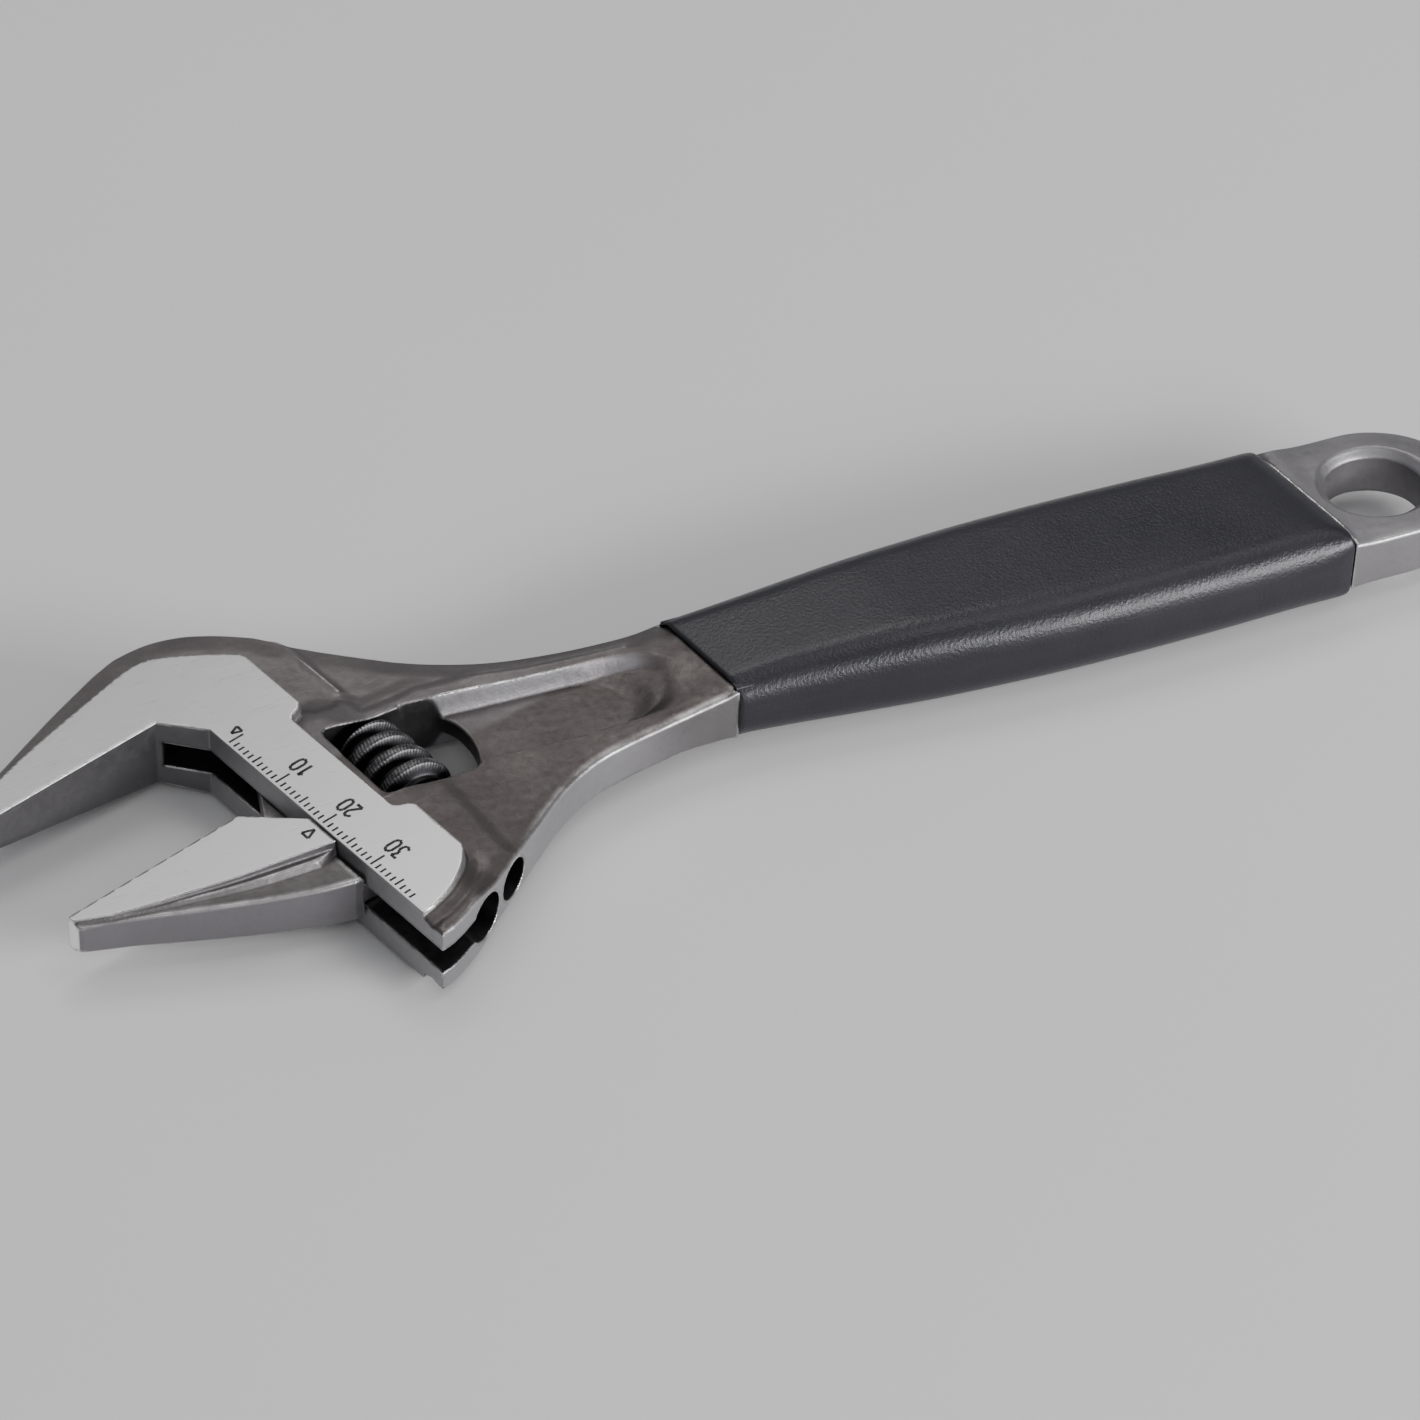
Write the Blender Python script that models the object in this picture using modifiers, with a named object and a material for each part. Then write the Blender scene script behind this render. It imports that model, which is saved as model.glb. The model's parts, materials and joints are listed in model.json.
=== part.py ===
"""Adjustable wrench with a slanted wide-opening head, worm adjuster and sleeved handle.

Units are metres in the scene; the driving dimensions below are in millimetres.
Handle axis is +X (toward the jaws), broad faces look along +Z and -Z.
Head coordinates (u, v): u runs along the jaws to their tips, v is the opening direction.
"""
import math

import bmesh
import bpy
from mathutils import Matrix, Vector

MM = 0.001

# ---- placement -------------------------------------------------------------
CENTRE_X = -8.1                # middle of the overall length
CENTRE_Y = 4.0                 # middle of the overall width
HALF_THICK_MAX = 6.62          # thickest half, stands the tool on z = 0

# ---- head frame ------------------------------------------------------------
HEAD_ANGLE = 16.676            # jaws turned from the handle axis, degrees
HEAD_X = 63.06                 # head origin: scale zero on the track edge
HEAD_Y = -5.27

# ---- thicknesses (half values) ---------------------------------------------
FORGE_HALF = 4.0               # forged body
WEB_HALF = 1.3                 # panel between the neck ribs
PAD_HALF_0 = 5.64              # ground face at u = 0
PAD_TAPER = 0.0898             # ground face falls toward the tips
RIM_TAPER = 0.056              # so does the forged rim of the fixed jaw
RIB_RISE = 0.45                # low ribs over the forged body
TIP_U = 34.2

# ---- jaws and track --------------------------------------------------------
FACE_FIXED_V = -9.4
FACE_MOVING_V = 11.6           # open by 21 mm as modelled
TRACK_U = 0.9                  # front edge of the track
SLOT_HALF = 1.9
BORE_U = -8.6                  # rack bore axis
BORE_R = 3.3
GAP = 0.3

# ---- worm, pin and spring --------------------------------------------------
WORM_U = -15.84
WORM_V0 = 7.1
WORM_V1 = 19.8
WORM_R = 5.5
WORM_ROOT_R = 3.75
LEAD = 3.4
CREST_W = 1.25
ROOT_W = 2.3
PIN_R = 1.5
PIN_HEAD_R = 2.45
PIN_HOLE_R = 1.8
PIN_ENTRY_R = 2.8
PIN_LOW_V = 0.7
PIN_HEAD_V = 30.3              # underside of the pin's head
PIN_TOP_V = 33.0
SPRING_R = 2.35
WIRE_R = 0.28
SPRING_SEAT_R = 3.0
SPRING_V0 = 16.75
SPRING_V1 = 21.1
COILS = 3.5

# ---- handle ----------------------------------------------------------------
AXIS_Y = -0.65
SLANT = math.tan(math.radians(15.0))   # both sleeve ends are cut at this slant
CORE_HALF_W = 10.2             # forging under the sleeve, at its ring end
GRIP_X0 = -91.4
GRIP_X1 = -2.0
SHOULDER_X = -91.9             # forging shoulder that stops the sleeve
RING_X = -102.7
RING_A = 12.8
RING_B = 11.6
HOLE_A = 7.1
HOLE_B = 6.6

for old in list(bpy.data.objects):
    bpy.data.objects.remove(old, do_unlink=True)

scene_root = bpy.context.scene.collection
parts = bpy.data.collections.new("adjustable_wrench")
cutters = bpy.data.collections.new("cutters")
scene_root.children.link(parts)
scene_root.children.link(cutters)

BASE = Matrix.Translation(Vector((-CENTRE_X, -CENTRE_Y, HALF_THICK_MAX)) * MM)
HEAD = BASE @ Matrix.Translation(Vector((HEAD_X, HEAD_Y, 0)) * MM) @ Matrix.Rotation(
    math.radians(HEAD_ANGLE), 4, "Z")
# a turned piece stands along its own Z; this lays it along +v
ALONG_V = Matrix.Rotation(math.radians(-90.0), 4, "X")


def head_to_handle(u, v):
    """Head coordinates to handle coordinates, both in mm."""
    a = math.radians(HEAD_ANGLE)
    return (HEAD_X + u * math.cos(a) - v * math.sin(a),
            HEAD_Y + u * math.sin(a) + v * math.cos(a))


def material(name, colour, roughness, metallic):
    mat = bpy.data.materials.new(name)
    mat.use_nodes = True
    shader = mat.node_tree.nodes["Principled BSDF"]
    shader.inputs["Base Color"].default_value = (*colour, 1.0)
    shader.inputs["Roughness"].default_value = roughness
    shader.inputs["Metallic"].default_value = metallic
    return mat


def smooth(points, steps=3):
    """Catmull-Rom curve through the given points, open ended."""
    out = []
    last = len(points) - 1
    for i in range(last):
        p0 = Vector(points[max(i - 1, 0)])
        p1 = Vector(points[i])
        p2 = Vector(points[i + 1])
        p3 = Vector(points[min(i + 2, last)])
        for k in range(steps):
            t = k / steps
            out.append(tuple(0.5 * (2 * p1 + (p2 - p0) * t + (2 * p0 - 5 * p1 + 4 * p2 - p3) * t ** 2
                                    + (3 * p1 - p0 - 3 * p2 + p3) * t ** 3)))
    out.append(tuple(points[-1]))
    return out


def new_object(name, mesh, matrix, collection):
    obj = bpy.data.objects.new(name, mesh)
    collection.objects.link(obj)
    obj.matrix_world = matrix
    if collection is cutters:
        obj.hide_render = True
        obj.display_type = "WIRE"
    return obj


def plate(name, points, half, matrix, collection):
    """Flat outline in mm, extruded to both sides of its plane."""
    curve = bpy.data.curves.new(name, "CURVE")
    curve.dimensions = "2D"
    curve.fill_mode = "BOTH"
    curve.extrude = half * MM
    line = curve.splines.new("POLY")
    line.points.add(len(points) - 1)
    for point, (x, y) in zip(line.points, points):
        point.co = (x * MM, y * MM, 0.0, 1.0)
    line.use_cyclic_u = True
    drawn = bpy.data.objects.new(name + "_outline", curve)
    scene_root.objects.link(drawn)
    depsgraph = bpy.context.evaluated_depsgraph_get()
    mesh = bpy.data.meshes.new_from_object(drawn.evaluated_get(depsgraph))
    mesh.name = name
    bpy.data.objects.remove(drawn, do_unlink=True)
    bm = bmesh.new()
    bm.from_mesh(mesh)
    bmesh.ops.remove_doubles(bm, verts=bm.verts, dist=0.000001)
    bmesh.ops.dissolve_limit(bm, angle_limit=0.001, verts=bm.verts, edges=bm.edges)
    bmesh.ops.recalc_face_normals(bm, faces=bm.faces)
    bm.to_mesh(mesh)
    bm.free()
    return new_object(name, mesh, matrix, collection)


def cylinder(name, radius, v0, v1, u, segments=32):
    """Cutter cylinder along +v at the given u."""
    bm = bmesh.new()
    bmesh.ops.create_cone(bm, cap_ends=True, segments=segments, radius1=radius * MM,
                          radius2=radius * MM, depth=(v1 - v0) * MM)
    mesh = bpy.data.meshes.new(name)
    bm.to_mesh(mesh)
    bm.free()
    place = HEAD @ Matrix.Translation(Vector((u, (v0 + v1) / 2, 0)) * MM) @ ALONG_V
    return new_object(name, mesh, place, cutters)


def set_height(obj, top, bottom):
    """Move the upper and lower face of a plate to planes given as functions of (x, y) in mm."""
    for vert in obj.data.vertices:
        rule = top if vert.co.z > 0 else bottom
        vert.co.z = rule(vert.co.x / MM, vert.co.y / MM) * MM


def bevel(obj, width, segments, angle):
    mod = obj.modifiers.new("edge", "BEVEL")
    mod.width = width * MM
    mod.segments = segments
    mod.limit_method = "ANGLE"
    mod.angle_limit = math.radians(angle)
    apply(obj)


def apply(obj):
    """Replace the object's mesh by its evaluated mesh."""
    depsgraph = bpy.context.evaluated_depsgraph_get()
    mesh = bpy.data.meshes.new_from_object(obj.evaluated_get(depsgraph))
    obj.modifiers.clear()
    obj.data = mesh


def combine(obj, other, operation):
    mod = obj.modifiers.new(operation.lower(), "BOOLEAN")
    mod.operation = operation
    mod.solver = "EXACT"
    mod.object = other
    apply(obj)


def pad_top(u, v):
    return PAD_HALF_0 - PAD_TAPER * u


def pad_bottom(u, v):
    return -pad_top(u, v)


# ---------------------------------------------------------------------------
# Frame: forging with the fixed jaw, head, neck, core under the grip and ring
# ---------------------------------------------------------------------------
near_neck = smooth([(-3.84, 8.15), (1.5, 8.9), (5.5, 9.5), (9.4, 10.4), (14.3, 11.6), (19.3, 13.3),
                    (23.9, 15.9), (27.6, 18.8), (30.9, 21.8), (36.1, 26.6), (39.6, 29.9),
                    (43.2, 33.1), (46.7, 36.0), (49.0, 37.6)], 2)
fixed_jaw = [head_to_handle(*p) for p in (
    (TRACK_U, 45.4), (TRACK_U, -2.6), (0.1, -3.5), (0.3, -4.7), (5.3, FACE_FIXED_V),
    (TIP_U, FACE_FIXED_V), (TIP_U, -12.6))]
far_rim = smooth([head_to_handle(*p) for p in (
    (25.5, -16.0), (19.5, -18.6), (14.5, -20.7), (9.5, -22.6), (4.5, -24.2), (-0.5, -25.0),
    (-5.5, -24.5), (-10.5, -22.2))]
                 + [(53.3, -26.8), (49.5, -23.9), (44.5, -20.2), (39.5, -17.0), (34.5, -14.2),
                    (29.5, -12.1), (24.5, -10.6), (19.5, -9.7), (14.5, -9.2), (9.5, -9.0),
                    (5.0, -9.1), (0.84, -9.45)], 2)
neck_core = [(0.64, -8.55), (GRIP_X0 + 2.4, AXIS_Y - CORE_HALF_W)]
ring_far = [(SHOULDER_X + SLANT * 11.0, AXIS_Y - RING_B)]
ring_arc = [(RING_X + RING_A * math.cos(a), AXIS_Y + RING_B * math.sin(a))
            for a in [math.radians(270.0 - 10.0 * k) for k in range(19)]]
ring_near = [(SHOULDER_X - SLANT * 11.4, AXIS_Y + RING_B)]
core_near = [(GRIP_X0 - 3.2, AXIS_Y + CORE_HALF_W), (-3.6, 7.25)]
frame = plate("frame", near_neck + fixed_jaw + far_rim + neck_core + ring_far + ring_arc
              + ring_near + core_near, FORGE_HALF, BASE, parts)
bevel(frame, 0.9, 2, 55.0)


def slope_plane(u, v):
    """Half thickness of the forging along the fixed jaw."""
    return FORGE_HALF + 0.05 - RIM_TAPER * (u - 1.5)


# the fixed jaw thins toward its tip on both sides
for side, name in ((1, "jaw_slope_top"), (-1, "jaw_slope_bottom")):
    slope = plate(name, [(1.5, -35.0), (40.0, -35.0), (40.0, -6.0), (1.5, -6.0)], 8.0, HEAD, cutters)
    if side > 0:
        set_height(slope, lambda u, v: 9.0, slope_plane)
    else:
        set_height(slope, lambda u, v: -slope_plane(u, v), lambda u, v: -9.0)
    combine(frame, slope, "DIFFERENCE")

# ground faces of the head, raised over the forged rim
pad_outline = (
    [(TRACK_U, 41.3)]
    + smooth([(-1.2, 41.1), (-4.8, 39.9), (-7.8, 38.0), (-9.7, 36.1), (-10.45, 34.8)], 2)
    + [(-10.5, 25.2), (-9.9, 24.5), (-8.7, 23.9), (-8.1, 23.2)]
    + [(-8.25, 2.0), (-8.8, 1.4), (-10.3, 0.8), (-10.85, 0.1)]
    + [(-10.9, -11.5), (-10.6, -12.5), (-9.9, -13.3), (-6.0, -16.6), (-3.0, -18.8)]
    + smooth([(-1.0, -19.9), (1.0, -20.2), (3.6, -20.0), (10.0, -18.7), (20.0, -16.5),
              (27.0, -14.5), (TIP_U - 0.3, -11.9)], 2)
    + [(TIP_U, -11.7), (TIP_U, FACE_FIXED_V), (5.3, FACE_FIXED_V), (0.3, -4.7), (0.1, -3.5),
       (TRACK_U, -2.6)])
pad = plate("pad", pad_outline, 5.0, HEAD, cutters)
set_height(pad, pad_top, pad_bottom)
combine(frame, pad, "UNION")

# low forged ribs beside the ground faces and round the worm opening
for name, outline in (
        ("rib_line", [(-18.4, -11.0), (-17.3, -12.2), (-17.3, 3.0), (-18.4, 3.0)]),
        ("rib_plate", [(-18.4, 1.2), (-9.5, 1.2), (-9.5, 7.5), (-18.4, 7.5)]),
        ("rib_upper", [(-17.7, 19.0), (-9.6, 19.2), (-9.7, 34.6), (-17.7, 35.3)])):
    rib = plate(name, outline, FORGE_HALF + RIB_RISE, HEAD, cutters)
    combine(frame, rib, "UNION")

# recessed panel along the neck, both faces
panel_outline = smooth([(36.0, 8.2), (20.0, 8.0), (9.0, 7.4), (4.0, 4.8), (2.4, 1.0), (4.0, -2.6),
                        (9.0, -4.4), (20.0, -4.9), (36.0, -5.2)], 2)
for side, name in ((1, "panel_top"), (-1, "panel_bottom")):
    panel = plate(name, panel_outline, 4.0, BASE @ Matrix.Translation((0, 0, side * (4.0 + WEB_HALF) * MM)),
                  cutters)
    combine(frame, panel, "DIFFERENCE")

# finger opening for the worm
window_outline = [(-9.2, 6.5), (-9.6, 5.6), (-10.6, 5.3), (-12.3, 5.5), (-23.0, 6.9)]
window_outline += smooth([(-25.2, 7.6), (-26.8, 8.6), (-27.8, 11.0), (-27.8, 13.8), (-27.0, 16.8),
                          (-25.4, 19.6), (-24.0, 21.4)], 2)
window_outline += [(-23.0, 21.8), (-10.4, 20.4), (-9.4, 20.0), (-9.2, 19.2)]
combine(frame, plate("window", window_outline, 12.0, HEAD, cutters), "DIFFERENCE")

# track slot, deepened behind the fixed jaw for the jaw's sloping web
slot_outline = [(BORE_U, 52.0), (14.0, 52.0), (14.0, -8.7), (4.6, -8.9), (3.6, -9.8),
                (-3.9, -22.6), (BORE_U, -22.6)]
combine(frame, plate("slot", slot_outline, SLOT_HALF, HEAD, cutters), "DIFFERENCE")
combine(frame, cylinder("rack_bore", BORE_R, -32.0, 52.0, BORE_U), "DIFFERENCE")
combine(frame, cylinder("pin_hole", PIN_HOLE_R, 0.3, 34.0, WORM_U, segments=24), "DIFFERENCE")
combine(frame, cylinder("pin_entry", PIN_ENTRY_R, 30.0, 46.0, WORM_U, segments=24), "DIFFERENCE")
combine(frame, cylinder("spring_seat", SPRING_SEAT_R, 18.0, 21.4, WORM_U, segments=24), "DIFFERENCE")

# hang hole with soft lead-in on both faces: a turned profile, stretched along the handle
hole = bpy.data.meshes.new("hang_hole")
bm = bmesh.new()
profile = [(0.0, 6.0), (HOLE_B + 3.2, 6.0), (HOLE_B + 1.2, 4.0), (HOLE_B + 0.25, 2.7), (HOLE_B, 1.5),
           (HOLE_B, -1.5), (HOLE_B + 0.25, -2.7), (HOLE_B + 1.2, -4.0), (HOLE_B + 3.2, -6.0),
           (0.0, -6.0)]
line = [bm.verts.new((r * MM, 0.0, z * MM)) for r, z in profile]
for a, b in zip(line, line[1:]):
    bm.edges.new((a, b))
bm.to_mesh(hole)
bm.free()
hole_cutter = new_object("hang_hole", hole, BASE @ Matrix.Translation(
    Vector((RING_X, AXIS_Y, 0)) * MM) @ Matrix.Diagonal((HOLE_A / HOLE_B, 1.0, 1.0, 1.0)), cutters)
turn = hole_cutter.modifiers.new("turn", "SCREW")
turn.angle = math.radians(360.0)
turn.steps = 40
turn.render_steps = 40
turn.use_merge_vertices = True
turn.merge_threshold = 0.00001
apply(hole_cutter)
combine(frame, hole_cutter, "DIFFERENCE")

# ---------------------------------------------------------------------------
# Moving jaw: forged blade with ground faces, web in the slot, toothed rack
# ---------------------------------------------------------------------------
JAW_AXIS = HEAD @ Matrix.Translation(Vector((BORE_U, FACE_MOVING_V, 0)) * MM)


def jaw_points(points):
    return [(u - BORE_U, v - FACE_MOVING_V) for u, v in points]


blade_outline = [(1.2, 18.2), (7.6, FACE_MOVING_V), (TIP_U, FACE_MOVING_V), (TIP_U, 13.6)]
blade_outline += smooth([(33.7, 14.1), (28.0, 16.9), (22.0, 20.3), (14.0, 24.6), (7.0, 27.9),
                         (2.4, 29.5)], 2)
blade_outline += [(1.2, 29.6)]
jaw = plate("jaw", jaw_points(blade_outline), 3.0, JAW_AXIS, parts)
set_height(jaw, lambda x, y: 3.75 - 0.047 * (x + BORE_U), lambda x, y: -3.75 + 0.047 * (x + BORE_U))
bevel(jaw, 0.5, 2, 60.0)
jaw_pad_outline = [(1.2, 17.9), (7.6, FACE_MOVING_V), (TIP_U, FACE_MOVING_V), (TIP_U, 12.6)]
jaw_pad_outline += smooth([(30.0, 15.0), (25.0, 16.9), (20.0, 18.5), (15.0, 20.1), (10.0, 21.4),
                           (2.6, 23.4)], 1)
jaw_pad_outline += [(1.2, 23.0)]
jaw_pad = plate("jaw_pad", jaw_points(jaw_pad_outline), 3.0, JAW_AXIS, cutters)
set_height(jaw_pad, lambda x, y: pad_top(x + BORE_U, y), lambda x, y: pad_bottom(x + BORE_U, y))
combine(jaw, jaw_pad, "UNION")
web_outline = [(BORE_U, -0.5), (-4.6, -0.5), (-3.4, -0.4), (5.0, 14.4), (5.0, 27.6), (1.4, 29.0),
               (BORE_U, 29.0)]
web = plate("jaw_web", jaw_points(web_outline), SLOT_HALF - GAP, JAW_AXIS, cutters)
combine(jaw, web, "UNION")
combine(jaw, cylinder("rack", BORE_R - GAP, -0.5, 29.0, BORE_U), "UNION")

# slanted rack teeth: the gaps follow the worm thread with running clearance
PITCH_R = (WORM_R + WORM_ROOT_R) / 2
SHEAR = -LEAD / (2 * math.pi * PITCH_R)
CLEAR = 0.25
flank = (ROOT_W - CREST_W) / 2 / (WORM_R - WORM_ROOT_R)
worm_mid = (WORM_V0 + WORM_V1) / 2


def gap_half(u):
    """Half width of a rack tooth gap at u."""
    radius = u - WORM_U
    return (CREST_W / 2 + flank * (WORM_R - radius)) + CLEAR


GAP_OUT = -13.0
GAP_FLOOR = -10.1
for k in range(-4, 6):
    v_mid = worm_mid + k * LEAD
    if v_mid < -1.5 or v_mid > 29.5:
        continue
    gap = plate("tooth_gap_%02d" % (k + 4), jaw_points([
        (GAP_OUT, v_mid - gap_half(GAP_OUT)), (GAP_FLOOR, v_mid - gap_half(GAP_FLOOR)),
        (GAP_FLOOR, v_mid + gap_half(GAP_FLOOR)), (GAP_OUT, v_mid + gap_half(GAP_OUT))]),
        4.5, JAW_AXIS, cutters)
    for vert in gap.data.vertices:
        vert.co.y += SHEAR * vert.co.z
    combine(jaw, gap, "DIFFERENCE")

# ---------------------------------------------------------------------------
# Worm: screw thread on a hub, bored for its pin and counterbored for the spring
# ---------------------------------------------------------------------------
WORM_AXIS = HEAD @ Matrix.Translation(Vector((WORM_U, worm_mid, 0)) * MM) @ ALONG_V
TURNS = 6
land = (LEAD - ROOT_W) / 2
slope_w = (ROOT_W - CREST_W) / 2
half_run = LEAD * TURNS / 2
thread = bpy.data.meshes.new("worm")
bm = bmesh.new()
tooth = [(WORM_ROOT_R, LEAD), (WORM_ROOT_R, LEAD - land), (WORM_R, LEAD - land - slope_w),
         (WORM_R, land + slope_w), (WORM_ROOT_R, land), (WORM_ROOT_R, 0.0)]
line = [bm.verts.new((r * MM, 0.0, (z - LEAD / 2 - half_run) * MM)) for r, z in tooth]
for a, b in zip(line, line[1:]):
    bm.edges.new((a, b))
bm.to_mesh(thread)
bm.free()
worm = new_object("worm", thread, WORM_AXIS, parts)
turn = worm.modifiers.new("thread", "SCREW")
turn.angle = math.radians(360.0)
turn.screw_offset = LEAD * MM
turn.iterations = TURNS
turn.steps = 32
turn.render_steps = 32
turn.use_merge_vertices = True
turn.merge_threshold = 0.00001
apply(worm)
bm = bmesh.new()
bm.from_mesh(worm.data)
bmesh.ops.remove_doubles(bm, verts=bm.verts, dist=0.00001)
open_edges = [e for e in bm.edges if e.is_boundary]
caps = bmesh.ops.holes_fill(bm, edges=open_edges, sides=0)["faces"]
bmesh.ops.poke(bm, faces=caps)
bmesh.ops.recalc_face_normals(bm, faces=bm.faces)
bm.to_mesh(worm.data)
bm.free()
length = WORM_V1 - WORM_V0
stock = bpy.data.meshes.new("worm_stock")
bm = bmesh.new()
bmesh.ops.create_cone(bm, cap_ends=True, segments=32, radius1=8 * MM, radius2=8 * MM,
                      depth=length * MM)
bm.to_mesh(stock)
bm.free()
combine(worm, new_object("worm_stock", stock, WORM_AXIS, cutters), "INTERSECT")
combine(worm, cylinder("worm_bore", PIN_HOLE_R, 2.0, 26.0, WORM_U, segments=24), "DIFFERENCE")
combine(worm, cylinder("worm_counterbore", SPRING_SEAT_R, 16.4, 26.0, WORM_U, segments=24), "DIFFERENCE")

# ---------------------------------------------------------------------------
# Worm pin with a slotted head, and the take-up spring round it
# ---------------------------------------------------------------------------
pin_profile = [(0.0, PIN_TOP_V), (PIN_HEAD_R - 0.3, PIN_TOP_V), (PIN_HEAD_R, PIN_TOP_V - 0.3),
               (PIN_HEAD_R, PIN_HEAD_V), (PIN_R, PIN_HEAD_V), (PIN_R, PIN_LOW_V + 0.6),
               (PIN_R - 0.5, PIN_LOW_V), (0.0, PIN_LOW_V)]
pin_mesh = bpy.data.meshes.new("worm_pin")
bm = bmesh.new()
line = [bm.verts.new((r * MM, 0.0, (v - worm_mid) * MM)) for r, v in pin_profile]
for a, b in zip(line, line[1:]):
    bm.edges.new((a, b))
bm.to_mesh(pin_mesh)
bm.free()
pin = new_object("worm_pin", pin_mesh, WORM_AXIS, parts)
turn = pin.modifiers.new("turn", "SCREW")
turn.angle = math.radians(360.0)
turn.steps = 24
turn.render_steps = 24
turn.use_merge_vertices = True
turn.merge_threshold = 0.00001
apply(pin)
driver_slot = bpy.data.meshes.new("driver_slot")
bm = bmesh.new()
bmesh.ops.create_cube(bm, size=1.0, matrix=Matrix.Diagonal((7 * MM, 0.8 * MM, 2.0 * MM, 1.0)))
bm.to_mesh(driver_slot)
bm.free()
combine(pin, new_object("driver_slot", driver_slot, WORM_AXIS @ Matrix.Translation(
    (0, 0, (PIN_TOP_V - worm_mid) * MM)), cutters), "DIFFERENCE")

coil = bpy.data.curves.new("worm_spring", "CURVE")
coil.dimensions = "3D"
coil.bevel_depth = WIRE_R * MM
coil.bevel_resolution = 2
coil.use_fill_caps = True
line = coil.splines.new("POLY")
count = 56
line.points.add(count)
for k in range(count + 1):
    t = k / count
    a = 2 * math.pi * COILS * t
    rise = SPRING_V0 + WIRE_R + (SPRING_V1 - SPRING_V0 - 2 * WIRE_R) * t - worm_mid
    line.points[k].co = (SPRING_R * math.cos(a) * MM, SPRING_R * math.sin(a) * MM, rise * MM, 1.0)
spring_curve = bpy.data.objects.new("spring_curve", coil)
scene_root.objects.link(spring_curve)
depsgraph = bpy.context.evaluated_depsgraph_get()
spring_mesh = bpy.data.meshes.new_from_object(spring_curve.evaluated_get(depsgraph))
spring_mesh.name = "worm_spring"
bpy.data.objects.remove(spring_curve, do_unlink=True)
bm = bmesh.new()
bm.from_mesh(spring_mesh)
bmesh.ops.remove_doubles(bm, verts=bm.verts, dist=0.000001)
bmesh.ops.recalc_face_normals(bm, faces=bm.faces)
bm.to_mesh(spring_mesh)
bm.free()
spring = new_object("worm_spring", spring_mesh, WORM_AXIS, parts)

# ---------------------------------------------------------------------------
# Grip: one moulded sleeve, a loft through rounded sections, bored for the core
# ---------------------------------------------------------------------------
# station x, half width, half thickness, corner radius
STATIONS = [(GRIP_X0, 11.4, 5.2, 2.8), (-90.4, 12.0, 5.9, 3.3), (-88.0, 12.35, 6.35, 3.8),
            (-83.0, 12.6, 6.62, 4.1), (-72.0, 12.95, 6.62, 4.2), (-60.0, 13.1, 6.62, 4.2),
            (-48.0, 12.95, 6.62, 4.2), (-38.0, 12.45, 6.62, 4.2), (-28.0, 11.65, 6.62, 4.1),
            (-18.0, 10.75, 6.2, 3.9), (-9.0, 10.0, 5.8, 3.6), (-3.0, 9.65, 5.5, 3.3),
            (GRIP_X1, 9.35, 5.2, 2.9)]
CORNER = 5


def section(half_w, half_t, radius):
    ring = []
    for sy, sz, start in ((1, 1, 0), (-1, 1, 90), (-1, -1, 180), (1, -1, 270)):
        for k in range(CORNER + 1):
            a = math.radians(start + 90.0 * k / CORNER)
            ring.append((sy * (half_w - radius) + radius * math.cos(a),
                         sz * (half_t - radius) + radius * math.sin(a)))
    return ring


grip_mesh = bpy.data.meshes.new("grip")
bm = bmesh.new()
rings = []
for x, half_w, half_t, radius in STATIONS:
    rings.append([bm.verts.new(((x - SLANT * y) * MM, y * MM, z * MM))
                  for y, z in section(half_w, half_t, radius)])
for a, b in zip(rings, rings[1:]):
    for i in range(len(a)):
        j = (i + 1) % len(a)
        bm.faces.new((a[i], b[i], b[j], a[j]))
bm.faces.new(rings[0])
bm.faces.new(rings[-1][::-1])
bmesh.ops.recalc_face_normals(bm, faces=bm.faces)
bm.to_mesh(grip_mesh)
bm.free()
AXIS_PLACE = BASE @ Matrix.Translation((0, AXIS_Y * MM, 0))
grip = new_object("grip", grip_mesh, AXIS_PLACE, parts)
bore_half_w = CORE_HALF_W + GAP
core_cut = plate("core_cut", [(6.0, -8.0), (6.0, 8.1), (-3.0, 8.2), (GRIP_X0 - 3.2, bore_half_w),
                              (GRIP_X0 - 9.0, bore_half_w), (GRIP_X0 - 9.0, -bore_half_w),
                              (GRIP_X0 + 2.4, -bore_half_w), (0.6, -8.2)],
                 FORGE_HALF + GAP, AXIS_PLACE, cutters)
combine(grip, core_cut, "DIFFERENCE")

# ---------------------------------------------------------------------------
# Materials, shading
# ---------------------------------------------------------------------------
LOOKS = {
    frame: material("forged_steel", (0.42, 0.39, 0.38), 0.42, 1.0),
    jaw: material("ground_steel", (0.62, 0.61, 0.61), 0.30, 1.0),
    worm: material("worm_steel", (0.10, 0.10, 0.11), 0.40, 1.0),
    pin: material("pin_steel", (0.16, 0.15, 0.16), 0.38, 1.0),
    spring: material("spring_steel", (0.35, 0.35, 0.36), 0.30, 1.0),
    grip: material("grip_rubber", (0.055, 0.058, 0.070), 0.50, 0.0),
}
for obj, mat in LOOKS.items():
    bm = bmesh.new()
    bm.from_mesh(obj.data)
    bmesh.ops.dissolve_degenerate(bm, edges=bm.edges, dist=0.000002)
    bmesh.ops.triangulate(bm, faces=bm.faces)
    bm.to_mesh(obj.data)
    bm.free()
    obj.data.materials.clear()
    obj.data.materials.append(mat)
    obj.data.shade_smooth()
    obj.data.set_sharp_from_angle(angle=math.radians(30.0))
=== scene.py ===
"""Looks of the adjustable wrench: forged frame, moving jaw, thumb worm, pin, spring and sleeve.

Shapes are worked out in millimetres. Handle coordinates (x, y) have +x along the handle toward
the jaws; head coordinates (u, v) run along the jaws to their tips and along the opening.
z is measured from the tool's middle plane, which both faces mirror.
"""

import itertools
import json
import math

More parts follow.
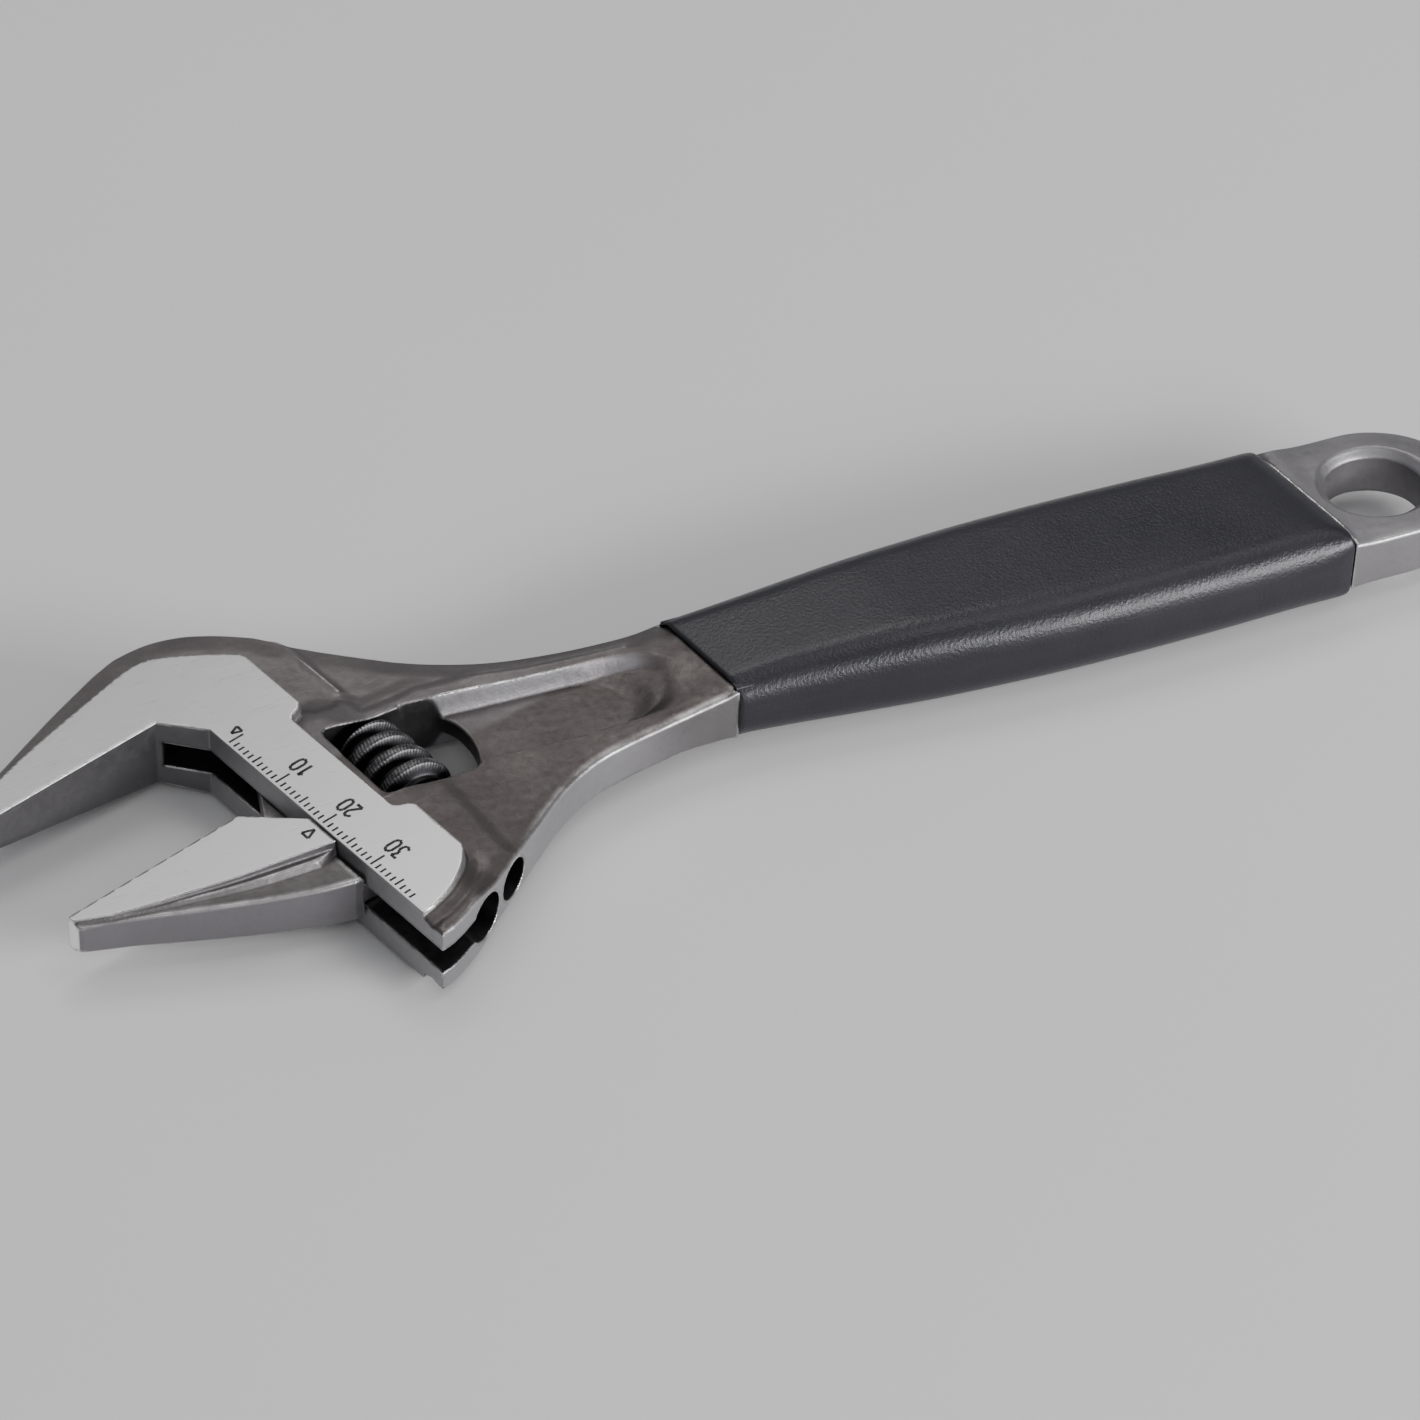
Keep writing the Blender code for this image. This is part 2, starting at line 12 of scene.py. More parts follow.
import bpy
import numpy as np
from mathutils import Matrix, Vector


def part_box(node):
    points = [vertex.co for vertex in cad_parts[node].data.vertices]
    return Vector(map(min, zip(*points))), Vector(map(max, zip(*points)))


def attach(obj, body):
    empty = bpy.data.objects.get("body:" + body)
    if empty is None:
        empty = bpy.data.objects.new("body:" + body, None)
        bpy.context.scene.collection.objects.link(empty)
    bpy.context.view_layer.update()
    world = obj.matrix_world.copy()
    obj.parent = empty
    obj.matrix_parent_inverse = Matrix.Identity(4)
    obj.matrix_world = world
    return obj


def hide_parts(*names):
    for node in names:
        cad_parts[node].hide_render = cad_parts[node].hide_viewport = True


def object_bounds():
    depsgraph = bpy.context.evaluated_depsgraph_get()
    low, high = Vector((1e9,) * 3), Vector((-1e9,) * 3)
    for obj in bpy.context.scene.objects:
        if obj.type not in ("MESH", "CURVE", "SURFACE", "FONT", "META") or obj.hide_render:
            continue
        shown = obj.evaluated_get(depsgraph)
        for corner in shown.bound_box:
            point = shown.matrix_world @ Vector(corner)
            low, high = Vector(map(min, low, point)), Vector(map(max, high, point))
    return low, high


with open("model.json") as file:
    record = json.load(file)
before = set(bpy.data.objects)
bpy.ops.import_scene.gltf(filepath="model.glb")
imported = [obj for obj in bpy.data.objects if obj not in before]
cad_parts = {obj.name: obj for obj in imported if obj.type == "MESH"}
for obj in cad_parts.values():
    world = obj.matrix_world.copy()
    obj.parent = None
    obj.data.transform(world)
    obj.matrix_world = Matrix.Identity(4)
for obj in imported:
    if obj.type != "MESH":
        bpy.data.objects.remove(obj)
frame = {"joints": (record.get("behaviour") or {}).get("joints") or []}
CAD_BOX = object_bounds()

MM = 0.001

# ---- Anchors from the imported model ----
JOINTS = {joint["name"]: joint for joint in frame["joints"]}
FRAME_LO, FRAME_HI = (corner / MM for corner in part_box("frame"))
OPENING_DIR = Vector(JOINTS["jaw_slide"]["axis"]).normalized()
WORM_CENTRE = Vector(JOINTS["worm_spin"]["pos_m"]) / MM
HEAD_ANGLE = math.atan2(-OPENING_DIR.x, OPENING_DIR.y)
HALF_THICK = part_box("grip")[1].z / MM / 2

# ---- Driving dimensions, mm ----
PAD_HALF = 5.64                # ground face height at u = 0
PAD_TAPER = 0.0898
TIP_U = 34.2
FACE_FIXED_V = -9.4
FACE_MOVING_V = 11.6
TRACK_U = 0.9
SLOT_HALF = 1.9
BORE_U = -8.6
BORE_R = 3.3
GAP = 0.3
WORM_U = -15.84
WORM_V0, WORM_V1 = 7.1, 19.8
WORM_MID = (WORM_V0 + WORM_V1) / 2
WORM_R = 5.5
WORM_ROOT_R = 3.75
LEAD = 3.4
CREST_W, ROOT_W = 1.25, 2.3
PIN_R = 1.5
PIN_HEAD_R = 2.45
PIN_HOLE_R = 1.8
PIN_ENTRY_R = 2.8
SEAT_R = 3.0
SEAT_DEPTH = 3.4
# middle and half length of each bore along v
BORE_SPAN = 10.0, 42.0
PIN_HOLE_SPAN = 17.15, 16.85
PIN_ENTRY_SPAN = 38.0, 8.0
SEAT_SPAN = 19.7, SEAT_DEPTH / 2
HEAD_X, HEAD_Y = 63.06, -5.27  # head origin in handle coordinates
AXIS_Y = -0.65
GRIP_X0, GRIP_X1 = -91.25, -0.8
RING_LEAN, HEAD_LEAN = 0.19, 0.23   # slant of the sleeve's ends
RING_SHOULDER_X = -91.4        # stops the sleeve
RING_SHOULDER_HALF = 11.6
RING_X = -102.7
RING_A, RING_B = 12.8, 11.6
HOLE_A, HOLE_B = 7.1, 6.6
CORE_HALF_W = 10.2
CORE_HALF_T = 4.0

COS, SIN = math.cos(HEAD_ANGLE), math.sin(HEAD_ANGLE)
WORM_X = HEAD_X + WORM_U * COS - WORM_MID * SIN
WORM_Y = HEAD_Y + WORM_U * SIN + WORM_MID * COS
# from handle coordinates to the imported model's
SHIFT = np.array(Vector((WORM_CENTRE.x - WORM_X, WORM_CENTRE.y - WORM_Y, HALF_THICK)))


# ---- Plan geometry ----
def to_head(x, y):
    dx, dy = x - HEAD_X, y - HEAD_Y
    return dx * COS + dy * SIN, dy * COS - dx * SIN


def to_handle(u, v):
    return HEAD_X + u * COS - v * SIN, HEAD_Y + u * SIN + v * COS


def from_head(points):
    return [to_handle(u, v) for u, v in points]


def smooth(points, steps=6):
    """Catmull-Rom curve through the given points, open ended."""
    pts = np.asarray(points, float)
    ends = np.vstack([pts[:1], pts, pts[-1:]])
    out = []
    for p0, p1, p2, p3 in zip(ends, ends[1:], ends[2:], ends[3:]):
        for k in range(steps):
            t = k / steps
            out.append(tuple(0.5 * (2 * p1 + (p2 - p0) * t + (2 * p0 - 5 * p1 + 4 * p2 - p3) * t ** 2
                                    + (3 * p1 - p0 - 3 * p2 + p3) * t ** 3)))
    out.append(tuple(pts[-1]))
    return out


def outline_distance(points, x, y, closed):
    """Distance to an outline; negative inside when it is closed."""
    pts = np.asarray(points, float)
    nxt = np.roll(pts, -1, 0) if closed else pts[1:]
    best = np.full(x.shape, 1e9)
    inside = np.zeros(x.shape, bool)
    for (ax, ay), (bx, by) in zip(pts, nxt):
        ex, ey = bx - ax, by - ay
        wx, wy = x - ax, y - ay
        t = np.clip((wx * ex + wy * ey) / max(ex * ex + ey * ey, 1e-12), 0.0, 1.0)
        best = np.minimum(best, (wx - ex * t) ** 2 + (wy - ey * t) ** 2)
        if closed and ey != 0.0:
            inside ^= ((ay > y) != (by > y)) & (x < ax + wy * ex / ey)
    return np.where(inside, -1.0, 1.0) * np.sqrt(best)


class Sheet:
    """Any function of the plan, read back from a fine grid."""

    pitch = 0.14

    def __init__(self, rule, lo, hi):
        self.lo = np.asarray(lo, float)
        self.count = np.ceil((hi - self.lo) / self.pitch).astype(int) + 1
        gx, gy = np.meshgrid(self.lo[0] + self.pitch * np.arange(self.count[0]),
                             self.lo[1] + self.pitch * np.arange(self.count[1]), indexing="ij")
        self.grid = rule(gx, gy)

    def __call__(self, x, y):
        gx, gy = (x - self.lo[0]) / self.pitch, (y - self.lo[1]) / self.pitch
        cx = np.clip(gx, 0.0, self.count[0] - 1.001)
        cy = np.clip(gy, 0.0, self.count[1] - 1.001)
        i, j = cx.astype(np.int32), cy.astype(np.int32)
        s, t = cx - i, cy - j
        g = self.grid
        near = ((g[i, j] * (1 - s) + g[i + 1, j] * s) * (1 - t)
                + (g[i, j + 1] * (1 - s) + g[i + 1, j + 1] * s) * t)
        return near + np.hypot(gx - cx, gy - cy) * self.pitch


class Plan(Sheet):
    """Distance to an outline, read back from a fine grid round it."""

    def __init__(self, points, closed=True):
        pts, margin = np.asarray(points, float), 5.0
        super().__init__(lambda x, y: outline_distance(points, x, y, closed),
                         pts.min(0) - margin, pts.max(0) + margin)


# ---- Blending of solids given as signed distances ----
def round_max(a, b, r):
    """Intersection with its edge rounded by r."""
    return np.minimum(np.maximum(a, b), -r) + np.hypot(np.maximum(a + r, 0), np.maximum(b + r, 0))


def round_min(a, b, r):
    """Union with its inner corner filled by radius r."""
    return np.maximum(np.minimum(a, b), r) - np.hypot(np.maximum(r - a, 0), np.maximum(r - b, 0))


def ramp(value, start, end):
    """0 at start, 1 at end, with soft shoulders."""
    t = np.clip((value - start) / (end - start), 0.0, 1.0)
    return t * t * (3 - 2 * t)


def ripple(x, y, size, seed):
    """Smooth unevenness of a forged skin, about -1 to 1."""
    rng = np.random.default_rng(seed)
    total = 0.0
    for angle, phase, stretch in rng.uniform((0, 0, 0.7), (math.pi, 6.28, 1.5), (7, 3)):
        k = 2 * math.pi / (size * stretch)
        bend = 0.8 * np.sin(k * 0.43 * (x * math.sin(angle) - y * math.cos(angle)) + phase * 1.7)
        total = total + np.sin(k * (x * math.cos(angle) + y * math.sin(angle)) + phase + bend)
    return total / 4.5


# ---- Closed surface of a solid by dual contouring ----
def gradient(field, p, eps):
    g = np.empty_like(p)
    for a in range(3):
        step = np.zeros(3)
        step[a] = eps
        g[:, a] = field(*(p + step).T) - field(*(p - step).T)
    return g / np.maximum(np.linalg.norm(g, axis=1, keepdims=True), 1e-9)


def sample(field, lo, count, pitch):
    """Field values on the grid, worked out only in blocks that the surface may cross."""
    block = 4
    blocks = -(-count // block)
    centres = [lo[a] + pitch * (block * np.arange(blocks[a]) + (block - 1) / 2) for a in range(3)]
    cx, cy, cz = (g.ravel() for g in np.meshgrid(*centres, indexing="ij"))
    coarse = field(cx, cy, cz)
    near = np.abs(coarse) < pitch * 5.0
    values = np.where(coarse < 0, -9.0, 9.0).reshape(blocks)
    values = values.repeat(block, 0).repeat(block, 1).repeat(block, 2)
    bi, bj, bk = (a * block for a in np.unravel_index(np.flatnonzero(near), blocks))
    oi, oj, ok = (g.ravel() for g in np.indices((block,) * 3))
    i, j, k = (np.add.outer(b, o).ravel() for b, o in ((bi, oi), (bj, oj), (bk, ok)))
    values[i, j, k] = field(lo[0] + pitch * i, lo[1] + pitch * j, lo[2] + pitch * k)
    return values


def crossings(field, values, lo, pitch):
    """Where the surface cuts grid edges: the four cells round each cut, its point and its sense."""
    strides = np.array([values.shape[1] * values.shape[2], values.shape[2], 1])
    steps = np.eye(3, dtype=int)
    nodes, points, flips = [], [], []
    for axis in range(3):
        a = np.moveaxis(values, axis, 0)
        at = np.argwhere(np.moveaxis((a[1:] < 0) != (a[:-1] < 0), 0, axis))
        at = at[at.min(1) > 0]
        f0 = values[tuple(at.T)]
        f1 = values[tuple((at + steps[axis]).T)]
        t0, t1 = np.zeros(len(at)), np.ones(len(at))
        g0, g1 = f0.copy(), f1.copy()
        for _ in range(3):
            margin = 0.02 * (t1 - t0)
            t = np.clip(t0 + (t1 - t0) * g0 / (g0 - g1), t0 + margin, t1 - margin)
            p = lo + pitch * at
            p[:, axis] += pitch * t
            g = field(*p.T)
            same = (g < 0) == (g0 < 0)
            t0, g0 = np.where(same, t, t0), np.where(same, g, g0)
            t1, g1 = np.where(same, t1, t), np.where(same, g1, g)
        b, c = steps[(axis + 1) % 3], steps[(axis + 2) % 3]
        nodes.append(np.stack([at, at - b, at - b - c, at - c], 1) @ strides)
        points.append(p)
        flips.append(f0 < 0)
    return np.concatenate(nodes), np.concatenate(points), np.concatenate(flips)


def contour(field, lo, hi, pitch):
    """(vertices, quads) of field = 0, with vertices set on sharp edges where there are any."""
    lo = np.asarray(lo, float)
    count = np.ceil((hi - lo) / pitch).astype(int) + 1
    values = sample(field, lo, count, pitch)
    nodes, points, flips = crossings(field, values, lo, pitch)
    normals = gradient(field, points, 0.03)
    cells, cell = np.unique(nodes.ravel(), return_inverse=True)
    cell = cell.ravel()
    p, n = points.repeat(4, 0), normals.repeat(4, 0)

    def total(weights):
        return np.bincount(cell, weights, len(cells))

    number = total(np.ones(len(cell)))
    mass = np.stack([total(p[:, a]) for a in range(3)], 1) / number[:, None]
    offset = ((p - mass[cell]) * n).sum(1)
    ata = np.empty((len(cells), 3, 3))
    for a in range(3):
        for b in range(a, 3):
            ata[:, a, b] = ata[:, b, a] = total(n[:, a] * n[:, b])
    atb = np.stack([total(n[:, a] * offset) for a in range(3)], 1)
    ata += np.eye(3) * (0.02 * number)[:, None, None]
    vertices = mass + np.linalg.solve(ata, atb[:, :, None])[:, :, 0]
    base = np.stack(np.unravel_index(cells, values.shape), 1)
    vertices = np.clip(vertices, lo + pitch * (base - 0.1), lo + pitch * (base + 1.1))
    quads = cell.reshape(-1, 4)
    quads = np.where(flips[:, None], quads, quads[:, ::-1])
    return vertices, quads


# ---- Meshes and objects ----
def to_world(points, head=False):
    """Handle or head coordinates in mm to scene coordinates in metres."""
    p = np.array(points, float)
    if head:
        p[:, 0], p[:, 1] = to_handle(points[:, 0], points[:, 1])
    return np.clip((p + SHIFT) * MM, *(np.array(corner) for corner in CAD_BOX))


def new_object(name, data):
    obj = bpy.data.objects.new(name, data)
    bpy.context.scene.collection.objects.link(obj)
    return obj


def mesh_object(name, vertices, faces, look, body, replaced=(), smooth_angle=None):
    material, slot_name = look
    mesh = bpy.data.meshes.new(name)
    mesh.from_pydata([tuple(v) for v in vertices], [], [tuple(f) for f in faces])
    mesh.update()
    mesh.validate()
    mesh.materials.append(material)
    obj = new_object(name, mesh)
    mesh.shade_smooth()
    if smooth_angle is not None:
        mesh.set_sharp_from_angle(angle=math.radians(smooth_angle))
    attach(obj, body)
    if replaced:
        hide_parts(*replaced)
    return obj


def attribute(obj, name, values):
    obj.data.attributes.new(name, "FLOAT", "POINT").data.foreach_set("value", values.astype(np.float32))


def apply_modifiers(obj):
    before = obj.data
    depsgraph = bpy.context.evaluated_depsgraph_get()
    obj.data = bpy.data.meshes.new_from_object(obj.evaluated_get(depsgraph))
    obj.modifiers.clear()
    bpy.data.meshes.remove(before)


def read(items, name, width, kind):
    """One property of all of a mesh's vertices, corners or faces, end to end."""
    values = np.empty(len(items) * width, kind)
    items.foreach_get(name, values)
    return values


def field_normals(mesh, field, local):
    """Shading normals: the field's own slope, read a little inside each face's corner."""
    corner_vert = read(mesh.loops, "vertex_index", 1, np.int32)
    totals = read(mesh.polygons, "loop_total", 1, np.int32)
    face_of = np.repeat(np.arange(len(totals)), totals)
    centres = np.stack([np.bincount(face_of, local[corner_vert, a]) for a in range(3)], 1)
    inward = (centres / totals[:, None])[face_of] - local[corner_vert]
    inward /= np.maximum(np.linalg.norm(inward, axis=1, keepdims=True), 1e-6)
    nu, nv, nz = gradient(field, local[corner_vert] + 0.06 * inward, 0.03).T
    mesh.normals_split_custom_set(list(zip(nu * COS - nv * SIN, nu * SIN + nv * COS, nz)))


def solid_object(name, field, lo, hi, pitch, keep, masks, **options):
    """Mesh of a field in head coordinates, with normals and finish masks taken from the field."""
    vertices, quads = contour(field, lo, hi, pitch)
    obj = mesh_object(name, to_world(vertices, head=True), quads, **options)
    obj.modifiers.new("thin", "DECIMATE").ratio = keep
    apply_modifiers(obj)
    obj.data.shade_smooth()
    local = read(obj.data.vertices, "co", 3, float).reshape(-1, 3) / MM - SHIFT
    local[:, 0], local[:, 1] = to_head(local[:, 0], local[:, 1])
    field_normals(obj.data, field, local)
    # how far the surface falls away, or rises, half a millimetre along it
    slope = gradient(field, local, 0.05)
    level = np.cross(slope, np.where(np.abs(slope[:, 2:]) < 0.7, (0.0, 0.0, 1.0), (1.0, 0.0, 0.0)))
    level /= np.linalg.norm(level, axis=1, keepdims=True)
    across = np.cross(slope, level)
    reach = 0.5
    steps = (level, -level, across, -across)
    bend = sum(field(*(local + reach * step).T) for step in steps) / (4 * reach)
    attribute(obj, "wear", np.clip(3.0 * bend, 0, 1))
    attribute(obj, "hollow", np.clip(-3.0 * bend, 0, 1))
    for mask, rule in masks.items():
        attribute(obj, mask, rule(local, slope))


# ---- Materials ----
class Nodes:
    """Short spellings for building a shader tree."""

    def __init__(self, name):
        self.material = bpy.data.materials.new(name)
        self.material.use_nodes = True
        self.tree = self.material.node_tree
        self.shader = self.tree.nodes["Principled BSDF"]

    def add(self, kind, **settings):
        node = self.tree.nodes.new("ShaderNode" + kind)
        for key, value in settings.items():
            setattr(node, key, value)
        return node

    def link(self, source, target):
        self.tree.links.new(source, target)

    def put(self, socket, value):
        if isinstance(value, bpy.types.NodeSocket):
            self.link(value, socket)
        elif socket.type == "RGBA":
            socket.default_value = (*value, 1.0)
        else:
            socket.default_value = value

    def coords(self, scale=(1, 1, 1), turn=0.0):
        where = self.add("TexCoord")
        mapping = self.add("Mapping")
        mapping.inputs["Scale"].default_value = scale
        mapping.inputs["Rotation"].default_value = (0, 0, turn)
        self.link(where.outputs["Object"], mapping.inputs["Vector"])
        return mapping.outputs["Vector"]

    def noise(self, scale, detail=4.0, roughness=0.55, vector=None):
        node = self.add("TexNoise")
        self.put(node.inputs["Scale"], scale)
        self.put(node.inputs["Detail"], detail)
        self.put(node.inputs["Roughness"], roughness)
        self.link(self.coords() if vector is None else vector, node.inputs["Vector"])
        return node.outputs["Fac"]

    def mask(self, name):
        return self.add("Attribute", attribute_name=name).outputs["Fac"]

    def math(self, operation, a, b):
        node = self.add("Math", operation=operation)
        self.put(node.inputs[0], a)
        self.put(node.inputs[1], b)
        return node.outputs[0]

    def range(self, value, lo, hi, out_lo=0.0, out_hi=1.0):
        node = self.add("MapRange")
        for socket, number in zip(node.inputs, (value, lo, hi, out_lo, out_hi)):
            self.put(socket, number)
        return node.outputs[0]

    def mix(self, factor, a, b, data_type="RGBA", socket_type="RGBA"):
        node = self.add("Mix", data_type=data_type)
        self.put(node.inputs["Factor"], factor)
        ends = [s for s in node.inputs if s.name in ("A", "B") and s.type == socket_type]
        for socket, value in zip(ends, (a, b)):
            self.put(socket, value)
        return next(s for s in node.outputs if s.type == socket_type)

    def mix_value(self, factor, a, b):
        return self.mix(factor, a, b, "FLOAT", "VALUE")

    def bump(self, height, strength, distance, normal=None):
        node = self.add("Bump")
        self.put(node.inputs["Height"], height)
        self.put(node.inputs["Strength"], strength)
        self.put(node.inputs["Distance"], distance)
        if normal is not None:
            self.link(normal, node.inputs["Normal"])
        return node.outputs["Normal"]

    def finish(self, colour, roughness, metallic, normal=None):
        self.put(self.shader.inputs["Base Color"], colour)
        self.put(self.shader.inputs["Roughness"], roughness)
        self.put(self.shader.inputs["Metallic"], metallic)
        if normal is not None:
            self.link(normal, self.shader.inputs["Normal"])
        return self.material


def steel_finish(name, forged_dark, forged_light, ground_colour, lit_wall_colour):
    """Satin plated steel: grained forged skin, bright ground faces, worn edges, painted highlights on the
    ridges, painted shade in hollows and recesses, painted light on the walls and a painted reflection on
    the jaw's end face.
    """
    n = Nodes(name)
    # masks for painted light on walls, painted shade inside, painted highlights on ridges and a painted
    # reflection on the jaw's tip are read here too
    ground, wear, hollow, wall, inner, quiet, tip_glare, ridge = map(
        n.mask, ("ground", "wear", "hollow", "wall", "inner", "quiet", "tip_glare", "ridge"))
    cloud = n.noise(90.0, 5.0, 0.6)
    grain = n.noise(2600.0, 3.0, 0.6)
    speck = n.noise(900.0, 6.0, 0.7)
    cloudy = n.range(cloud, 0.3, 0.7)
    forged = n.mix(cloudy, forged_dark, forged_light)
    forged = n.mix(n.range(speck, 0.45, 0.75, 0.0, 0.35), forged, tuple(c * 0.72 for c in forged_dark))
    # painted light: the side walls and other lit places take a brighter colour
    lit_wall = n.mix(cloudy, tuple(c * 0.85 for c in lit_wall_colour), lit_wall_colour)
    forged = n.mix(wall, forged, lit_wall)
    # painted shade: a dark colour inside the opening, the slot and the bores, on the throat and on the
    # fixed jaw's face
    recess_shade = n.mix(cloudy, (0.062, 0.059, 0.060), (0.092, 0.088, 0.090))
    forged = n.mix(inner, forged, recess_shade)
    lines = n.noise(1.0, 3.0, 0.6, n.coords((260, 5200, 260), -HEAD_ANGLE))
    bright = n.mix(n.range(lines, 0.3, 0.7), tuple(c * 0.93 for c in ground_colour), ground_colour)
    colour = n.mix(ground, forged, bright)
    # painted reflection: the jaw's ground end face is made near white
    colour = n.mix(tip_glare, colour, (0.93, 0.925, 0.93))
    # painted shade: hollows darkened in patches
    hollow_shade = n.math("MULTIPLY", n.range(hollow, 0.35, 0.9), n.range(cloud, 0.25, 0.65, 0.05, 0.20))
    colour = n.mix(hollow_shade, colour, (0.045, 0.041, 0.041))
    patch = n.noise(220.0, 4.0, 0.6)
    rubbed = n.math("MULTIPLY", n.range(wear, 0.34, 0.70), n.range(patch, 0.36, 0.58, 0.30, 0.95))
    rubbed = n.math("MULTIPLY", rubbed, n.range(quiet, 0.0, 1.0, 1.0, 0.10))
    # the near ridges take the rubbed colour as a painted highlight, on top of real wear
    rubbed = n.math("MAXIMUM", rubbed, n.math("MULTIPLY", ridge, n.range(patch, 0.36, 0.60, 0.15, 0.80)))
    colour = n.mix(rubbed, colour, (0.56, 0.545, 0.54))
    rough_forged = n.range(speck, 0.3, 0.7, 0.40, 0.56)
    rough_ground = n.range(lines, 0.3, 0.7, 0.27, 0.36)
    rough = n.mix_value(rubbed, n.mix_value(ground, rough_forged, rough_ground), 0.26)
    skin = n.math("SUBTRACT", 1.0, ground)
    normal = n.bump(speck, n.math("MULTIPLY", skin, 0.35), 0.00012)
    normal = n.bump(grain, n.math("MULTIPLY", skin, 0.5), 0.00004, normal)
    normal = n.bump(lines, n.math("MULTIPLY", ground, 0.10), 0.00002, normal)
    return n.finish(colour, rough, 1.0, normal)


def dark_steel(name, colour, light):
    """Blackened steel with rubbed high spots."""
    n = Nodes(name)
    wear = n.mask("wear")
    speck = n.noise(1400.0, 5.0, 0.65)
    cloud = n.noise(160.0, 4.0, 0.55)
    base = n.mix(n.range(cloud, 0.3, 0.7), colour, tuple(c * 1.35 for c in colour))
    rubbed = n.math("MULTIPLY", n.range(wear, 0.35, 1.0), n.range(speck, 0.35, 0.6, 0.2, 1.0))
    tint = n.mix(rubbed, base, light)
    rough = n.range(speck, 0.3, 0.7, 0.34, 0.50)
    return n.finish(tint, rough, 1.0, n.bump(speck, 0.3, 0.00005))


def rubber_finish(name):
    """Moulded sleeve: slate rubber with a fine orange-peel skin and slight mottling."""
    n = Nodes(name)
    cloud = n.noise(70.0, 5.0, 0.6)
    peel = n.noise(2100.0, 3.0, 0.55)
    fine = n.noise(5200.0, 2.0, 0.5)
    streak = n.noise(1.0, 4.0, 0.6, n.coords((90, 900, 600)))
    colour = n.mix(n.range(cloud, 0.3, 0.7), (0.0095, 0.0088, 0.0135), (0.0145, 0.0136, 0.0195))
    colour = n.mix(n.range(streak, 0.5, 0.8, 0.0, 0.3), colour, (0.022, 0.022, 0.028))
    rough = n.range(cloud, 0.3, 0.7, 0.30, 0.40)
    normal = n.bump(peel, 0.65, 0.00010)
    normal = n.bump(fine, 0.25, 0.00003, normal)
    n.shader.inputs["Specular IOR Level"].default_value = 0.50
    n.shader.inputs["Sheen Weight"].default_value = 0.02
    n.shader.inputs["Sheen Roughness"].default_value = 0.4
    return n.finish(colour, rough, 0.0, normal)


def ink_finish(name):
    """Dark etched marking with uneven density."""
    n = Nodes(name)
    patch = n.noise(3000.0, 3.0, 0.6)
    colour = n.mix(n.range(patch, 0.35, 0.65), (0.018, 0.017, 0.019), (0.060, 0.057, 0.059))
    return n.finish(colour, n.range(patch, 0.3, 0.7, 0.55, 0.75), 0.2)


# each look is a material and a slot name from the record
FRAME_LOOK = (steel_finish("satin_forging", (0.098, 0.087, 0.084), (0.148, 0.132, 0.127),
                           (0.56, 0.55, 0.552), (0.38, 0.368, 0.384)), "forged_steel")
JAW_LOOK = (steel_finish("satin_jaw", (0.115, 0.108, 0.107), (0.165, 0.156, 0.156),
                         (0.57, 0.56, 0.57), (0.25, 0.24, 0.252)), "ground_steel")
WORM_LOOK = (dark_steel("blackened_worm", (0.030, 0.029, 0.031), (0.21, 0.203, 0.206)), "worm_steel")
PIN_LOOK = (dark_steel("blackened_pin", (0.07, 0.065, 0.07), (0.20, 0.195, 0.20)), "pin_steel")
SPRING_LOOK = (dark_steel("spring_wire", (0.28, 0.28, 0.29), (0.6, 0.6, 0.6)), "spring_steel")
GRIP_LOOK = (rubber_finish("slate_rubber"), "grip_rubber")
INK_LOOK = (ink_finish("etched_mark"), "worm_steel")

# ---- Frame ----
near_neck = smooth([(-2.95, 8.3), (1.5, 8.9), (5.5, 9.5), (9.4, 10.4), (14.3, 11.6), (19.3, 13.3),
                    (23.9, 15.9), (27.6, 18.8), (30.9, 21.8), (36.1, 26.6), (39.6, 29.9),
                    (43.2, 33.1), (46.7, 36.0), (49.0, 37.6)])
fixed_jaw = from_head([(TRACK_U, 45.4), (TRACK_U, -3.6), (5.3, FACE_FIXED_V), (TIP_U, FACE_FIXED_V),
                       (TIP_U, -12.6)])
far_rim = smooth(from_head([(25.5, -16.7), (19.5, -19.0), (14.5, -20.9), (9.5, -22.6), (4.5, -24.2),
                            (-0.5, -25.0), (-5.5, -24.5), (-10.5, -22.2)])
                 + [(53.3, -26.8), (49.5, -23.9), (44.5, -20.2), (39.5, -17.0), (34.5, -14.2),
                    (29.5, -12.1), (24.5, -10.6), (19.5, -9.7), (14.5, -9.2), (9.5, -9.0),
                    (5.0, -9.1), (1.2, -9.45)])
ring_arc = [(RING_X + RING_A * math.cos(a), AXIS_Y + RING_B * math.sin(a))
            for a in np.radians(np.linspace(270.0, 90.0, 61))]
frame_outline = Plan(
    near_neck + fixed_jaw + far_rim
    + [(0.9, -8.55), (GRIP_X0 + 2.4, AXIS_Y - CORE_HALF_W),
       (RING_SHOULDER_X + RING_LEAN * RING_SHOULDER_HALF, AXIS_Y - RING_SHOULDER_HALF)]
    + ring_arc
    + [(RING_SHOULDER_X - RING_LEAN * RING_SHOULDER_HALF, AXIS_Y + RING_SHOULDER_HALF),
       (GRIP_X0 - 2.4, AXIS_Y + CORE_HALF_W), (-2.7, 7.4)])

